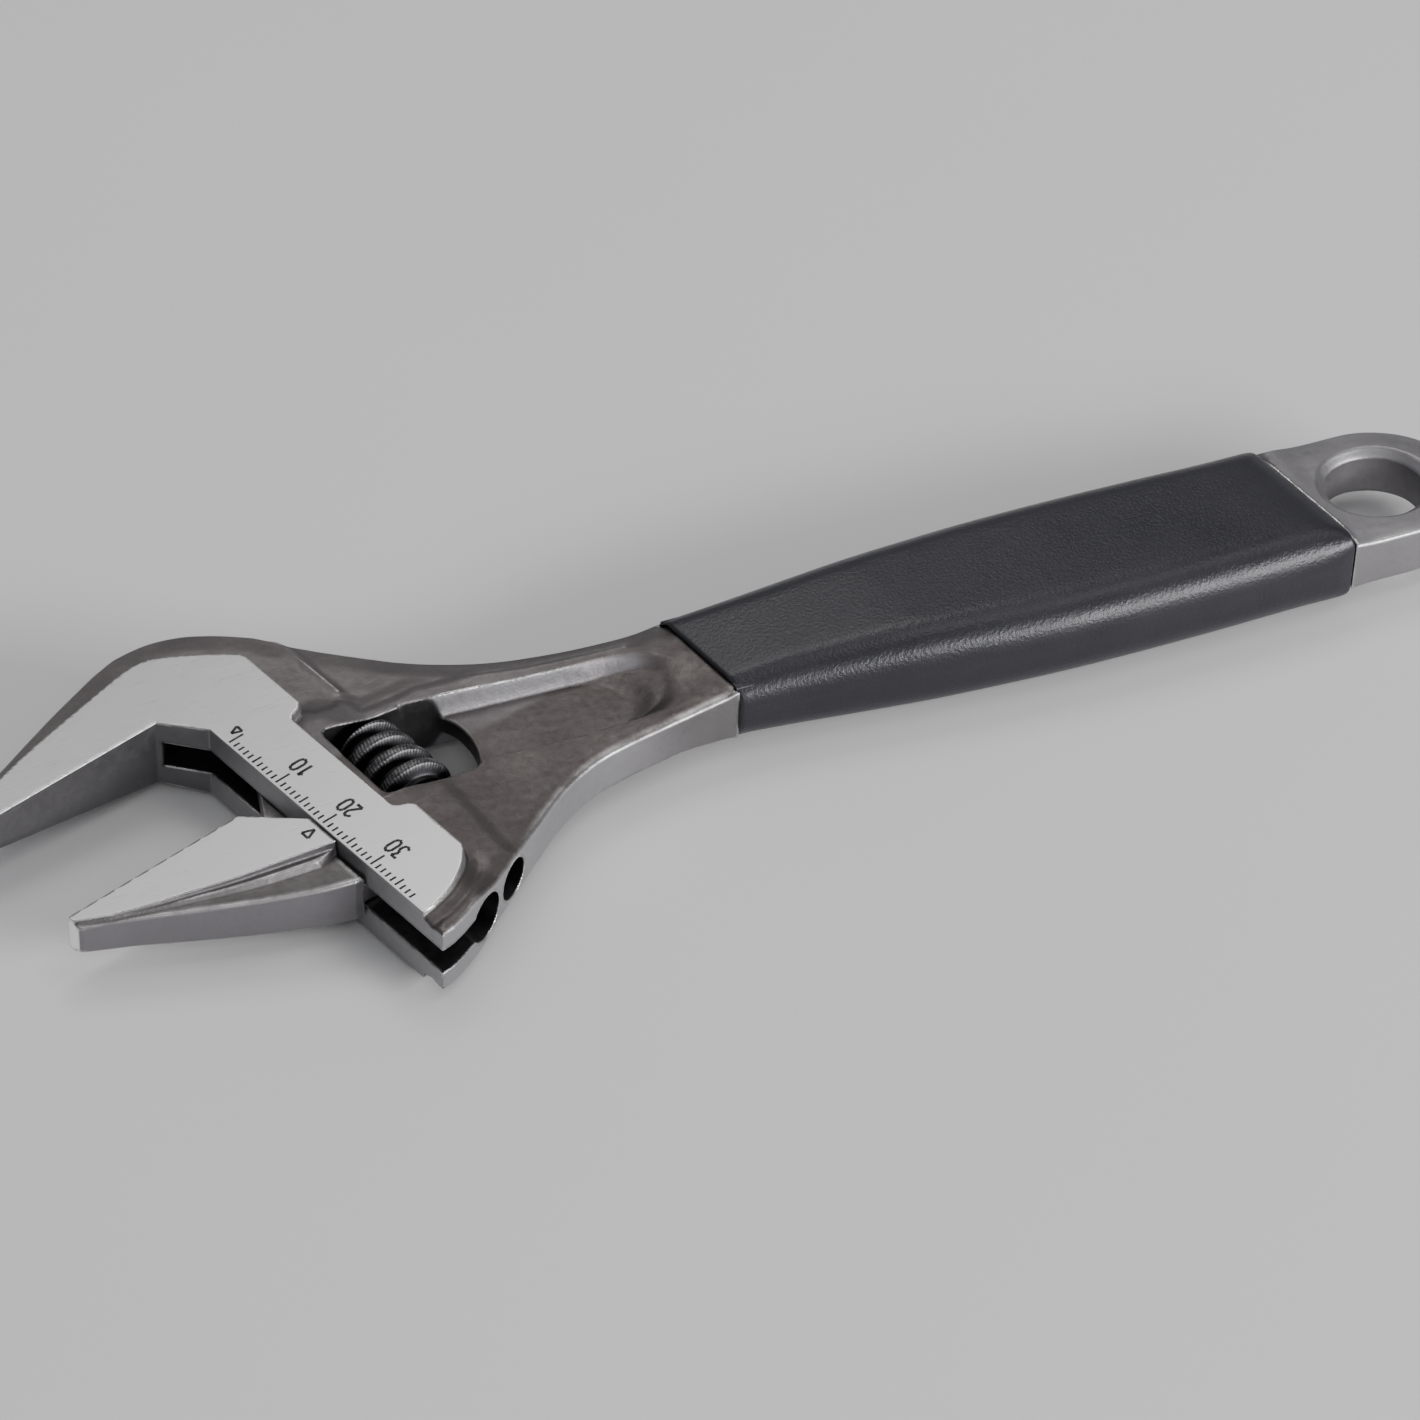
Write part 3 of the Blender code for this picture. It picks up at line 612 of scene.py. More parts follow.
head_pad = Plan(from_head(
    [(TRACK_U, 41.3)]
    + smooth([(-1.2, 41.1), (-4.8, 39.9), (-7.8, 38.0), (-9.7, 36.1), (-10.45, 34.8)], 4)
    + [(-10.5, 25.2), (-9.9, 24.5), (-8.7, 23.9), (-8.1, 23.2)]
    + [(-8.25, 2.0), (-8.8, 1.4), (-10.3, 0.8), (-10.85, 0.1)]
    + [(-10.9, -11.5), (-10.6, -12.5), (-9.9, -13.3), (-6.0, -16.6), (-3.0, -18.8)]
    + smooth([(-1.0, -19.9), (1.0, -20.2), (3.6, -20.0), (10.0, -18.7), (20.0, -16.5),
              (27.0, -14.5), (TIP_U - 0.3, -11.9)], 4)
    + [(TIP_U, -11.7), (TIP_U, FACE_FIXED_V), (5.3, FACE_FIXED_V), (TRACK_U, -3.6)]))

worm_window = Plan(from_head(
    [(-10.1, 6.7), (-10.4, 5.8), (-11.1, 5.4), (-12.3, 5.5), (-23.0, 6.9)]
    + smooth([(-25.2, 7.6), (-26.8, 8.6), (-27.8, 11.0), (-27.8, 13.8), (-27.0, 16.8),
              (-25.4, 19.6), (-24.0, 21.4)], 4)
    + [(-23.0, 21.8), (-10.8, 20.4), (-10.0, 20.0), (-9.75, 19.2)]))

track_slot = Plan(from_head([(BORE_U, 52.0), (14.0, 52.0), (14.0, -8.7), (4.6, -8.9), (3.6, -9.8),
                             (-3.9, -22.6), (BORE_U, -22.6)]))

# forged relief of the broad faces
dish = Plan(smooth([(40.0, 8.0), (20.0, 7.9), (9.0, 7.3), (4.6, 5.4), (2.6, 1.6), (3.4, -2.2),
                    (8.0, -4.5), (20.0, -4.9), (40.0, -5.4)]))
panel = Plan([(40.0, 8.0), (20.0, 7.9), (13.0, 7.6)]
             + smooth([(10.0, 6.2), (8.2, 3.4), (8.3, 0.4), (9.8, -2.0), (13.0, -3.9), (17.0, -4.6)], 4)
             + [(40.0, -5.4)])
upper_plate = Plan([(20.0, -3.0), (20.0, -7.2), (28.0, -7.7), (33.5, -8.0), (36.6, -8.2), (40.0, -7.1),
                    (44.6, -6.4), (45.7, -8.4), (47.0, -9.2), (47.6, -8.3), (49.2, -7.4), (50.8, -7.4),
                    (51.6, -8.6), (53.5, -8.6), (54.0, 2.0), (38.0, 2.0)])
strip_crest = Plan([(8.0, -5.5), (12.0, -5.8), (20.0, -6.2), (25.0, -6.6), (33.0, -8.0), (36.5, -8.3),
                    (40.0, -7.4), (45.0, -6.4)], closed=False)
triangle = Plan([(28.0, -8.2), (33.0, -9.2), (36.5, -9.6), (40.5, -8.8), (44.6, -7.9), (45.7, -9.8),
                 (50.1, -24.2), (49.0, -32.0), (28.0, -32.0)])
rib_crest = Plan(from_head([(-17.9, -1.0), (-17.9, -18.0)]), closed=False)
channel = Plan(from_head([(-17.2, -0.2), (-16.8, 0.8), (-15.8, 1.3), (-12.4, 1.3), (-11.2, 0.9),
                          (-9.0, 0.2), (-9.0, -30.0), (-17.2, -30.0)]))
near_plate = Plan(from_head([(-18.2, 20.5), (-9.0, 20.5), (-9.0, 37.6), (-16.2, 37.6)]))


def ground_height(u):
    return PAD_HALF - PAD_TAPER * u


def with_relief(h, x, y):
    """Height h with the forging's low ground, ribs and raised lands."""
    u, v = to_head(x, y)
    # low ground: beside the rib, and in the channel along the ground face
    h = h - 0.28 * ramp(triangle(x, y), 0.9, -1.5) * ramp(x, 30.0, 40.0)
    h = h - 0.20 * ramp(channel(x, y), 0.7, -1.0) * ramp(v, -17.0, -8.0)
    h = h + 0.24 * np.exp(-(rib_crest(x, y) / 0.5) ** 2)
    # raised plates beside the ground face and round the worm opening
    h = h + 0.30 * ramp(upper_plate(x, y), 0.7, -1.1) * ramp(x, 22.0, 33.0)
    h = h + 0.26 * ramp(near_plate(x, y), 1.1, -1.3)
    # higher land at the nose, grooved along the ground face
    h = h + 1.15 * ramp(v, 33.0, 40.0) * ramp(u, -12.0, -6.0)
    h = h - 0.32 * np.exp(-((head_pad(x, y) - 1.75) / 0.75) ** 2) * ramp(v, 34.5, 39.0)
    # shoulder that stops the sleeve
    shoulder = np.exp(-((x - RING_SHOULDER_X + RING_LEAN * (y - AXIS_Y) + 0.45) / 0.42) ** 2)
    h = h + 0.75 * shoulder * (1.0 - ramp(np.abs(y - AXIS_Y), 7.5, 11.0))
    # land between the ground face and the worm opening
    return h + 1.15 * ramp(u, -18.0, -11.2) * ramp(v, -2.5, 3.5) * (1.0 - ramp(v, 20.5, 23.5))


def with_panel(h, x, y):
    """Height h with the neck's panel: a shallow dish that deepens into a flat web."""
    fall = ramp(x, 1.0, 13.0)
    floor = 3.45 - 1.65 * fall
    wall = 3.2 - 1.9 * fall
    depth = ramp(dish(x, y), 0.12 * wall, -wall)
    h = h + (np.minimum(floor, h) - h) * depth
    web = 1.35 + 0.10 * ramp(x, 34.0, 12.0)
    soft = ramp(x, 13.5, 9.0)
    return h + (np.minimum(web, h) - h) * ramp(panel(x, y), 0.25 + 0.9 * soft, -1.0 - 1.6 * soft)


def forged_height(x, y):
    """Half thickness of the forging before the ground faces are added."""
    u, v = to_head(x, y)
    inner = np.maximum(-frame_outline(x, y), 0.0)
    head = ramp(x, 28.0, 44.0)
    waist = ramp(x, -4.0, 7.0) * (1.0 - head)
    under_grip = ramp(x, GRIP_X0 - 6.0, GRIP_X0 - 1.0) * (1.0 - ramp(x, -3.0, -1.0))
    ring = 1.0 - ramp(x, GRIP_X0 - 4.0, GRIP_X0 - 1.0)
    near_side = ramp(y, -3.0, 4.0)
    edge_drop = (0.30 + 0.12 * head + (0.75 - 0.62 * near_side) * waist) * (1.0 - under_grip)
    crest = 4.06 - 0.056 * np.clip(u - 1.5, 0.0, 40.0) * ramp(v, 0.0, -8.0) - 0.12 * ring
    crest = crest - 0.68 * waist * near_side
    h = crest - edge_drop * (1.0 - ramp(inner, -0.5, 4.2 - 1.6 * near_side))
    far_side = ramp(y, -4.5, -6.0) * waist * (1.0 - ramp(x, 26.0, 34.0))
    h = h + 0.34 * far_side * np.exp(-(strip_crest(x, y) / 1.1) ** 2)
    h = with_panel(with_relief(h, x, y), x, y)
    skin = (1.0 - under_grip) * 0.030
    return h + skin * ripple(x, y, 6.5, 3) + 0.4 * skin * ripple(x, y, 2.2, 8)


PLAN_LO = np.array(FRAME_LO)[:2] - SHIFT[:2] - 1.0
PLAN_HI = np.array(FRAME_HI)[:2] - SHIFT[:2] + 1.0
height_map = Sheet(forged_height, PLAN_LO, PLAN_HI)


def height_steepness(x, y):
    e = Sheet.pitch
    gx = (height_map(x + e, y) - height_map(x - e, y)) / (2 * e)
    gy = (height_map(x, y + e) - height_map(x, y - e)) / (2 * e)
    return 1.0 / np.sqrt(1.0 + gx * gx + gy * gy)


steep_map = Sheet(height_steepness, PLAN_LO, PLAN_HI)


def bore(u, v, z, axis_u, radius, span):
    """Cylinder along v, round axis_u."""
    middle, half = span
    return np.maximum(np.hypot(u - axis_u, z) - radius, np.abs(v - middle) - half)


def pin_bores(u, v, z):
    """Holes along the worm axis: pin hole, head entry in the near wall, spring seat."""
    hole = bore(u, v, z, WORM_U, PIN_HOLE_R, PIN_HOLE_SPAN)
    entry = bore(u, v, z, WORM_U, PIN_ENTRY_R, PIN_ENTRY_SPAN)
    seat = bore(u, v, z, WORM_U, SEAT_R, SEAT_SPAN)
    return np.minimum(np.minimum(hole, entry), seat)


def frame_field(u, v, z):
    a = np.abs(z)
    x, y = to_handle(u, v)
    plan = frame_outline(x, y)
    body = round_max(plan, (a - height_map(x, y)) * steep_map(x, y), 0.55)
    top = ground_height(u)
    pad = head_pad(x, y)
    raised = round_max(pad - 0.16 * np.clip(top - a, 0.0, 2.5), a - top, 0.20)
    body = round_min(body, round_max(raised, plan, 0.20), 0.45)
    body = np.maximum(body, plan)
    # the opening, the slot and the bores
    body = round_max(body, -worm_window(x, y), 0.40)
    slot = np.maximum(track_slot(x, y), a - SLOT_HALF)
    body = round_max(body, -slot, 0.14)
    body = round_max(body, -bore(u, v, z, BORE_U, BORE_R, BORE_SPAN), 0.14)
    body = round_max(body, -pin_bores(u, v, z), 0.20)
    # hanging hole with a soft lead-in
    rho = np.hypot((x - RING_X) * HOLE_B / HOLE_A, y - AXIS_Y)
    lead = 1.1 * ramp(a, 2.6, 4.1)
    return round_max(body, (HOLE_B + lead - rho) * 0.85, 0.3)


def on_ground_face(u, z, pad):
    """1 on the ground broad faces, fading over the rounded edge."""
    return ramp(np.abs(z) - ground_height(u), -0.16, -0.05) * ramp(pad, 0.06, -0.03)


def frame_ground(p, n):
    u, v, z = p.T
    return on_ground_face(u, z, head_pad(*to_handle(u, v)))


def frame_inner(p, n):
    """1 where painted shade goes: the throat, the fixed jaw's face and inside the opening, the slot and
    the bores.
    """
    u, v, z = p.T
    x, y = to_handle(u, v)
    upright = ramp(np.abs(n[:, 2]), 0.75, 0.45)
    face = ramp(n[:, 1], 0.25, 0.6) * ramp(v, -2.0, -3.2) * ramp(u, -0.6, 0.2) * 0.6
    window = ramp(worm_window(x, y), 0.5, 0.15) * upright
    slot = ramp(track_slot(x, y), 0.2, 0.0) * ramp(np.abs(z), SLOT_HALF + 0.35, SLOT_HALF + 0.1)
    rack = ramp(np.hypot(u - BORE_U, z), BORE_R + 0.35, BORE_R + 0.1)
    pin = ramp(np.hypot(u - WORM_U, z), PIN_ENTRY_R + 0.35, PIN_ENTRY_R + 0.1) * ramp(v, -0.5, 0.5)
    return np.maximum.reduce([face, window, slot, rack, pin])


def side_wall(p, n):
    """1 on the edges of the tool, which get painted light: a colour brighter than the forged faces."""
    return 1.0 - ramp(np.abs(n[:, 2]), 0.25, 0.6)


def frame_wall(p, n):
    """Painted light on the edges, and partly on the ring, the raised plate, the far side and the panel's
    far wall.
    """
    x, y = to_handle(*p.T[:2])
    facing = n[:, 0] * SIN + n[:, 1] * COS
    panel_wall_light = 0.45 * ramp(facing, 0.22, 0.45) * ramp(dish(x, y), 0.4, -0.2)
    panel_wall_light = panel_wall_light * ramp(x, 2.0, 8.0) * ramp(y, 1.0, -1.0)
    ring = 0.75 * (x < GRIP_X0)
    plate = 0.25 * ramp(upper_plate(x, y), 0.6, -0.6)
    far_side = 0.18 * ramp(y, -3.0, -7.0)
    trim = side_wall(p, n) * (0.4 + 0.6 * ramp(x, 2.0, 18.0))
    return np.maximum.reduce([np.where(ring > 0, ring, trim), panel_wall_light, plate, far_side])


def frame_ridge(p, n):
    """1 along the top edge of the neck's near side and of the ring, rubbed and given a painted highlight.
    """
    x, y = to_handle(*p.T[:2])
    inside = -frame_outline(x, y)
    near_side = ramp(y, 3.0, 5.0) * (1.0 - ramp(x, 30.0, 36.0))
    return ramp(inside, 1.35, 0.45) * ramp(np.abs(n[:, 2]), 0.25, 0.55) * near_side


def frame_quiet(p, n):
    """1 where edges are hardly rubbed: the openings, the track, the fixed jaw, the panel's foot."""
    u, v, z = p.T
    x, y = to_handle(u, v)
    window = ramp(worm_window(x, y), 1.1, 0.6)
    track = ramp(np.abs(u - TRACK_U), 1.1, 0.6) * ramp(np.abs(z), SLOT_HALF + 0.8, SLOT_HALF + 1.4)
    fixed = ramp(np.abs(v - FACE_FIXED_V), 1.1, 0.6) * ramp(u, 3.0, 5.0)
    panel_foot = ramp(np.abs(panel(x, y)), 1.6, 1.1) * ramp(y, 3.0, 5.0)
    hole = ramp(np.hypot(x - RING_X, y - AXIS_Y), 9.6, 9.2)
    return np.maximum.reduce([window, track, fixed, panel_foot, 0.8 * hole])


def build_frame():
    corners = np.array([to_head(x, y) for x, y in itertools.product(*zip(PLAN_LO, PLAN_HI))])
    lo = (*corners.min(0), -HALF_THICK - 0.3)
    hi = (*corners.max(0), HALF_THICK + 0.3)
    solid_object("wrench_forging", frame_field, lo, hi, 0.27, 0.55,
                 {"ground": frame_ground, "wall": frame_wall, "inner": frame_inner,
                  "quiet": frame_quiet, "ridge": frame_ridge},
                 look=FRAME_LOOK, body="wrench_frame", replaced=("frame",))


# ---- Moving jaw, in head coordinates ----
jaw_outline = Plan(
    [(1.2, 18.2), (7.6, FACE_MOVING_V), (TIP_U, FACE_MOVING_V), (TIP_U, 13.6)]
    + smooth([(33.7, 14.1), (28.0, 16.9), (22.0, 20.3), (14.0, 24.6), (7.0, 27.9), (2.4, 29.5)])
    + [(1.2, 29.6)])
jaw_pad = Plan(
    [(-2.0, 21.1), (1.2, 17.9), (7.6, FACE_MOVING_V), (TIP_U, FACE_MOVING_V), (TIP_U, 12.6)]
    + smooth([(30.0, 15.0), (25.0, 16.9), (20.0, 18.5), (15.0, 20.1), (10.0, 21.4), (2.6, 23.3)])
    + [(-2.0, 24.5)])
jaw_web = Plan([(BORE_U, -0.5), (-4.6, -0.5), (-3.4, -0.4), (5.0, 14.4), (5.0, 27.0), (1.4, 29.0),
                (BORE_U, 29.0)])


def jaw_height(u, v):
    """Half thickness of the stepped, hollowed flank beside the jaw's ground face."""
    out = np.maximum(jaw_pad(u, v), 0.0)
    inner = np.maximum(-jaw_outline(u, v), 0.0)
    width = out + inner
    scale = np.clip(width / 4.5, 0.12, 1.0)
    ridge = 3.42 - 0.036 * (u - 1.4)
    top = ground_height(u)
    ledge = ridge + 0.42 * (top - ridge)
    low = ridge - 0.20 * scale
    e = out / scale
    h = ledge - (ledge - low) * ramp(e, 0.95, 1.75)
    climb = np.clip((e - 1.4) / np.maximum(width / scale - 1.4, 0.3), 0.0, 1.0)
    return h + (ridge - low) * climb ** 2.2


jaw_height_map = Sheet(jaw_height, (-10.0, 8.0), (36.0, 32.0))
TOOTH_PITCH_R = (WORM_R + WORM_ROOT_R) / 2
SHEAR = -LEAD / (2 * math.pi * TOOTH_PITCH_R)
FLANK = (ROOT_W - CREST_W) / 2 / (WORM_R - WORM_ROOT_R)
TOOTH_FLOOR_U = -10.1
RACK_MID, RACK_HALF = 14.25, 14.75


def rack_teeth(u, v, z):
    """Gaps between the rack teeth, repeated every lead and slanted with the worm thread."""
    phase = v - WORM_MID - SHEAR * z
    phase = phase - LEAD * np.round(phase / LEAD)
    half = CREST_W / 2 + FLANK * (WORM_R - (u - WORM_U)) + 0.25
    return np.maximum(np.abs(phase) - half, u - TOOTH_FLOOR_U)


def jaw_field(u, v, z):
    a = np.abs(z)
    plan = jaw_outline(u, v)
    blade = round_max(plan, (a - jaw_height_map(u, v)) * 0.8, 0.42)
    top = ground_height(u)
    raised = round_max(jaw_pad(u, v) - 0.10 * np.clip(top - a, 0.0, 2.0), a - top, 0.14)
    blade = round_min(blade, round_max(raised, plan, 0.14), 0.25)
    web = round_max(jaw_web(u, v), a - (SLOT_HALF - GAP), 0.15)
    rack = round_max(np.hypot(u - BORE_U, z) - (BORE_R - GAP), np.abs(v - RACK_MID) - RACK_HALF, 0.25)
    rack = round_max(rack, -rack_teeth(u, v, z), 0.12)
    return round_min(blade, round_min(web, rack, 0.1), 0.2)


def jaw_ground(p, n):
    u, v, z = p.T
    return np.maximum(on_ground_face(u, z, jaw_pad(u, v)), jaw_tip(p, n))


def jaw_tip(p, n):
    """1 on the ground end face of the jaw, which gets a near-white painted reflection."""
    return ramp(p[:, 0], TIP_U - 0.12, TIP_U - 0.02)


def jaw_ridge(p, n):
    """1 along the outer ridge of the flank, rubbed and given a painted highlight."""
    u, v, _ = p.T
    inside = -jaw_outline(u, v)
    return ramp(inside, 1.1, 0.4) * ramp(np.abs(n[:, 2]), 0.25, 0.55) * ramp(jaw_pad(u, v), 0.8, 1.4)


def jaw_inner(p, n):
    """1 on the web and the rack, which run inside the head and get painted shade."""
    return 0.7 * ramp(p[:, 0], 0.6, -0.4)


def build_jaw():
    solid_object("sliding_jaw", jaw_field, (-12.5, -1.6, -6.4), (35.0, 30.8, 6.4),
                 0.24, 0.6,
                 {"ground": jaw_ground, "wall": side_wall, "inner": jaw_inner, "tip_glare": jaw_tip,
                  "ridge": jaw_ridge},
                 look=JAW_LOOK, body="moving_jaw", replaced=("jaw",))


# ---- Turned pieces along the worm axis ----
def full_turn(steps):
    return np.linspace(0.0, 2 * math.pi, steps, endpoint=False)


def along_worm(r, angle, v):
    """World points of cylinder coordinates about the worm axis."""
    u, z = WORM_U + r * np.cos(angle), r * np.sin(angle)
    return to_world(np.stack([u.ravel(), np.broadcast_to(v, u.shape).ravel(), z.ravel()], 1), head=True)


def tube_faces(rows, columns, close_rows):
    """Quads of a grid whose columns wrap round; rows wrap too when close_rows is set."""
    i, j = np.meshgrid(np.arange(rows if close_rows else rows - 1), np.arange(columns), indexing="ij")
    i1, j1 = (i + 1) % rows, (j + 1) % columns
    corners = [i * columns + j, i * columns + j1, i1 * columns + j1, i1 * columns + j]
    return np.stack(corners, -1).reshape(-1, 4)


def capped_tube(points, ends, sides, flip):
    """Vertices and faces of a tube closed at each end by a fan round a middle point."""
    base, first, last = len(points) - sides, len(points), len(points) + 1
    faces = tube_faces(len(points) // sides, sides, False).tolist()
    faces += [(first, (j + 1) % sides, j) for j in range(sides)]
    faces += [(last, base + j, base + (j + 1) % sides) for j in range(sides)]
    return np.vstack([points, ends]), [f[::-1] for f in faces] if flip else faces


def build_worm():
    """Rounded thread with knurled crests, under four turns long, on a bored hub."""
    turn_steps, knurls = 320, 64
    rise = np.linspace(WORM_V0, WORM_V1, 128)
    angle = full_turn(turn_steps)
    v, a = np.meshgrid(rise, angle, indexing="ij")
    # crest of the thread: its height over one lead is a rounded hump
    phase = (v - WORM_MID) / LEAD - a / (2 * math.pi)
    off = np.abs(phase - np.round(phase)) * LEAD
    hump = 1.0 - ramp(off, 0.55, 1.42)
    crown = 1.0 - 0.10 * np.clip(off / 0.9, 0.0, 1.0) ** 2
    ends = ramp(v, WORM_V0, WORM_V0 + 0.9) * (1.0 - ramp(v, WORM_V1 - 0.9, WORM_V1))
    knurl = 0.5 + 0.5 * np.cos(knurls * a + 5.0 * v)
    coarse = 0.75 + 0.25 * np.sin(7.0 * a + 1.3 * v)
    r = WORM_ROOT_R + (WORM_R - WORM_ROOT_R) * hump * crown * (0.35 + 0.65 * ends)
    r = r - 0.060 * hump * coarse * (1.0 - knurl) ** 1.5
    outer = along_worm(r, a, v)
    bore_v = np.array([WORM_V1, WORM_V1 - SEAT_DEPTH, WORM_V1 - SEAT_DEPTH, WORM_V0])
    bore_r = np.array([SEAT_R, SEAT_R, PIN_HOLE_R, PIN_HOLE_R])
    inner = along_worm(bore_r[:, None], angle, bore_v[:, None])
    rows = len(rise) + len(bore_v)
    worm = mesh_object("thumb_worm_screw", np.vstack([outer, inner]), tube_faces(rows, turn_steps, True),
                       WORM_LOOK, "thumb_worm", ("worm",), 50.0)
    wear = np.zeros(rows * turn_steps)
    wear[:outer.shape[0]] = (hump * crown * (0.55 + 0.45 * knurl) * ends).ravel()
    attribute(worm, "wear", wear)


def build_pin():
    top, shank_top, low = 33.0, 30.3, 0.7
    profile = np.array([(PIN_HEAD_R - 0.35, top), (PIN_HEAD_R - 0.12, top - 0.08), (PIN_HEAD_R, top - 0.3),
                        (PIN_HEAD_R, shank_top + 0.1), (PIN_HEAD_R - 0.1, shank_top), (PIN_R, shank_top),
                        (PIN_R, low + 0.6), (PIN_R - 0.15, low + 0.3), (PIN_R - 0.5, low)])
    angle = full_turn(48)
    shank = along_worm(profile[:, :1], angle, profile[:, 1:])
    ends = along_worm(0.0, np.zeros(2), (top, low))
    pin = mesh_object("worm_screw_pin", *capped_tube(shank, ends, len(angle), False), PIN_LOOK,
                      "wrench_frame", ("worm_pin",), 35.0)
    # driver slot across the head
    x, y = to_handle(WORM_U, top)
    slot_size = (5.6, 2.0, 0.85)
    corners = np.array(list(itertools.product((-1, 1), repeat=3))) * slot_size / 2
    turned_x = corners[:, 0] * COS - corners[:, 1] * SIN + x
    turned_y = corners[:, 0] * SIN + corners[:, 1] * COS + y
    box = bpy.data.meshes.new("driver_slot")
    box.from_pydata([tuple(c) for c in to_world(np.stack([turned_x, turned_y, corners[:, 2]], 1))], [],
                    [(0, 1, 3, 2), (4, 6, 7, 5), (0, 4, 5, 1), (2, 3, 7, 6), (0, 2, 6, 4), (1, 5, 7, 3)])
    cutter = new_object("driver_slot", box)
    cut = pin.modifiers.new("slot", "BOOLEAN")
    cut.operation = "DIFFERENCE"
    cut.object = cutter
    apply_modifiers(pin)
    bpy.data.objects.remove(cutter, do_unlink=True)


def build_spring():
    """Take-up spring between the worm and the frame."""
    wire, coil_r, low, high, coils, sides = 0.28, 2.35, 17.03, 20.82, 3.5, 14
    t = np.linspace(0.0, 1.0, int(coils * 40) + 1)
    angle = 2 * math.pi * coils * t
    closed = np.interp(t, [0, 0.18, 0.82, 1], [0, 0.05, 0.95, 1])
    v_mid = low + (high - low) * closed
    psi = full_turn(sides)
    coil = along_worm(coil_r + wire * np.cos(psi), angle[:, None], v_mid[:, None] + wire * np.sin(psi))
    ends = along_worm(coil_r, angle[[0, -1]], v_mid[[0, -1]])
    mesh_object("take_up_spring", *capped_tube(coil, ends, sides, True), SPRING_LOOK,
                "wrench_frame", ("worm_spring",), 60.0)


# ---- Grip sleeve ----
# station x, half width, half thickness, corner radius
STATIONS = [(GRIP_X0, 11.7, 5.3, 2.0), (-90.2, 12.0, 5.8, 2.9), (-88.0, 12.35, 6.35, 4.4),
            (-83.0, 12.6, 6.62, 5.3), (-72.0, 12.95, 6.62, 5.4), (-60.0, 13.1, 6.62, 5.4),
            (-48.0, 12.95, 6.62, 5.4), (-38.0, 12.45, 6.62, 5.4), (-28.0, 11.65, 6.62, 5.3),
            (-18.0, 10.75, 6.2, 5.0), (-9.0, 10.0, 5.65, 4.6), (-3.5, 9.65, 5.15, 4.1),
            (GRIP_X1, 9.5, 4.85, 3.8)]
WALL_STEPS, CORNER_STEPS = 12, 12
LIP_LENGTH, LIP_DROP = 0.5, 0.25
CORE_HEAD_HALF_W = 8.05


def grip_section(half_w, half_t, radius):
    """Rounded rectangle with evenly spread points on flats and corners, (y, z)."""
    ring = []
    for sy, sz, start in ((1, 1, 0), (-1, 1, 90), (-1, -1, 180), (1, -1, 270)):
        cy, cz = sy * (half_w - radius), sz * (half_t - radius)
        for a in np.radians(start + np.linspace(0.0, 90.0, CORNER_STEPS + 1)):
            ring.append((cy + radius * math.cos(a), cz + radius * math.sin(a)))
        y, z = ring[-1]
        y_next, z_next = (-cy, z) if start in (0, 180) else (y, -cz)
        for t in np.linspace(0.0, 1.0, WALL_STEPS, endpoint=False)[1:]:
            ring.append((y + (y_next - y) * t, z + (z_next - z) * t))
    return np.array(ring)


def leaning(x, section):
    """Section points in handle coordinates, with the sleeve's slant at that station."""
    lean = np.interp(x, (GRIP_X0, GRIP_X1), (RING_LEAN, HEAD_LEAN))
    return np.stack([x - lean * section[:, 0], section[:, 0] + AXIS_Y, section[:, 1]], 1)


def build_grip():
    """Moulded sleeve round the flat core, its ends softly rounded."""
    table = np.array(smooth(STATIONS, 8))
    rings = []
    for x in np.concatenate([np.linspace(GRIP_X0, -88.0, 20), np.linspace(-87.0, -5.0, 90),
                             np.linspace(-4.4, GRIP_X1, 14)]):
        half_w, half_t, radius = (np.interp(x, table[:, 0], table[:, k]) for k in (1, 2, 3))
        end = min((x - GRIP_X0) / LIP_LENGTH, (GRIP_X1 - x) / LIP_LENGTH, 1.0)
        lip = LIP_DROP * (1.0 - math.sqrt(max(0.0, 1.0 - (1.0 - end) ** 2)))
        rings.append(leaning(x, grip_section(half_w - lip, half_t - lip, radius)))
    outer = np.vstack(rings)
    # shallow dimples on the broad faces
    dimple = np.abs(0.02 * ripple(outer[:, 0], outer[:, 1], 9.0, 5))
    outer[:, 2] -= np.where(np.abs(outer[:, 2]) < HALF_THICK - 0.1, 0.0, dimple) * np.sign(outer[:, 2])
    inner = []
    for x in (GRIP_X1, -45.0, GRIP_X0):
        half_w = np.interp(x, (GRIP_X0, GRIP_X1), (CORE_HALF_W, CORE_HEAD_HALF_W)) + GAP
        inner.append(leaning(x, grip_section(half_w, CORE_HALF_T + GAP, 0.6)))
    faces = tube_faces(len(rings) + len(inner), len(rings[0]), True)[:, ::-1]
    mesh_object("grip_sleeve", to_world(np.vstack([outer] + inner)), faces, GRIP_LOOK,
                "wrench_frame", ("grip",), 50.0)


# ---- Etched scale, numbers and pointers ----
ETCH_LIFT = 0.012
ETCH_DEPTH = 0.03
SCALE_LENGTH = 38
TICK_U, TICK_WIDTH = 0.45, 0.34
DIGIT_SIZE, DIGIT_ADVANCE, DIGIT_FOOT_U, STROKE_WIDTH = 1.5, 1.55, -4.9, 0.45
DIGIT_NARROWING = 0.85
POINTER_WIDTH = 0.42
BAR_FACES = np.array([(3, 2, 1, 0), (4, 5, 6, 7), (1, 5, 4, 0), (2, 6, 5, 1), (3, 7, 6, 2), (0, 4, 7, 3)])


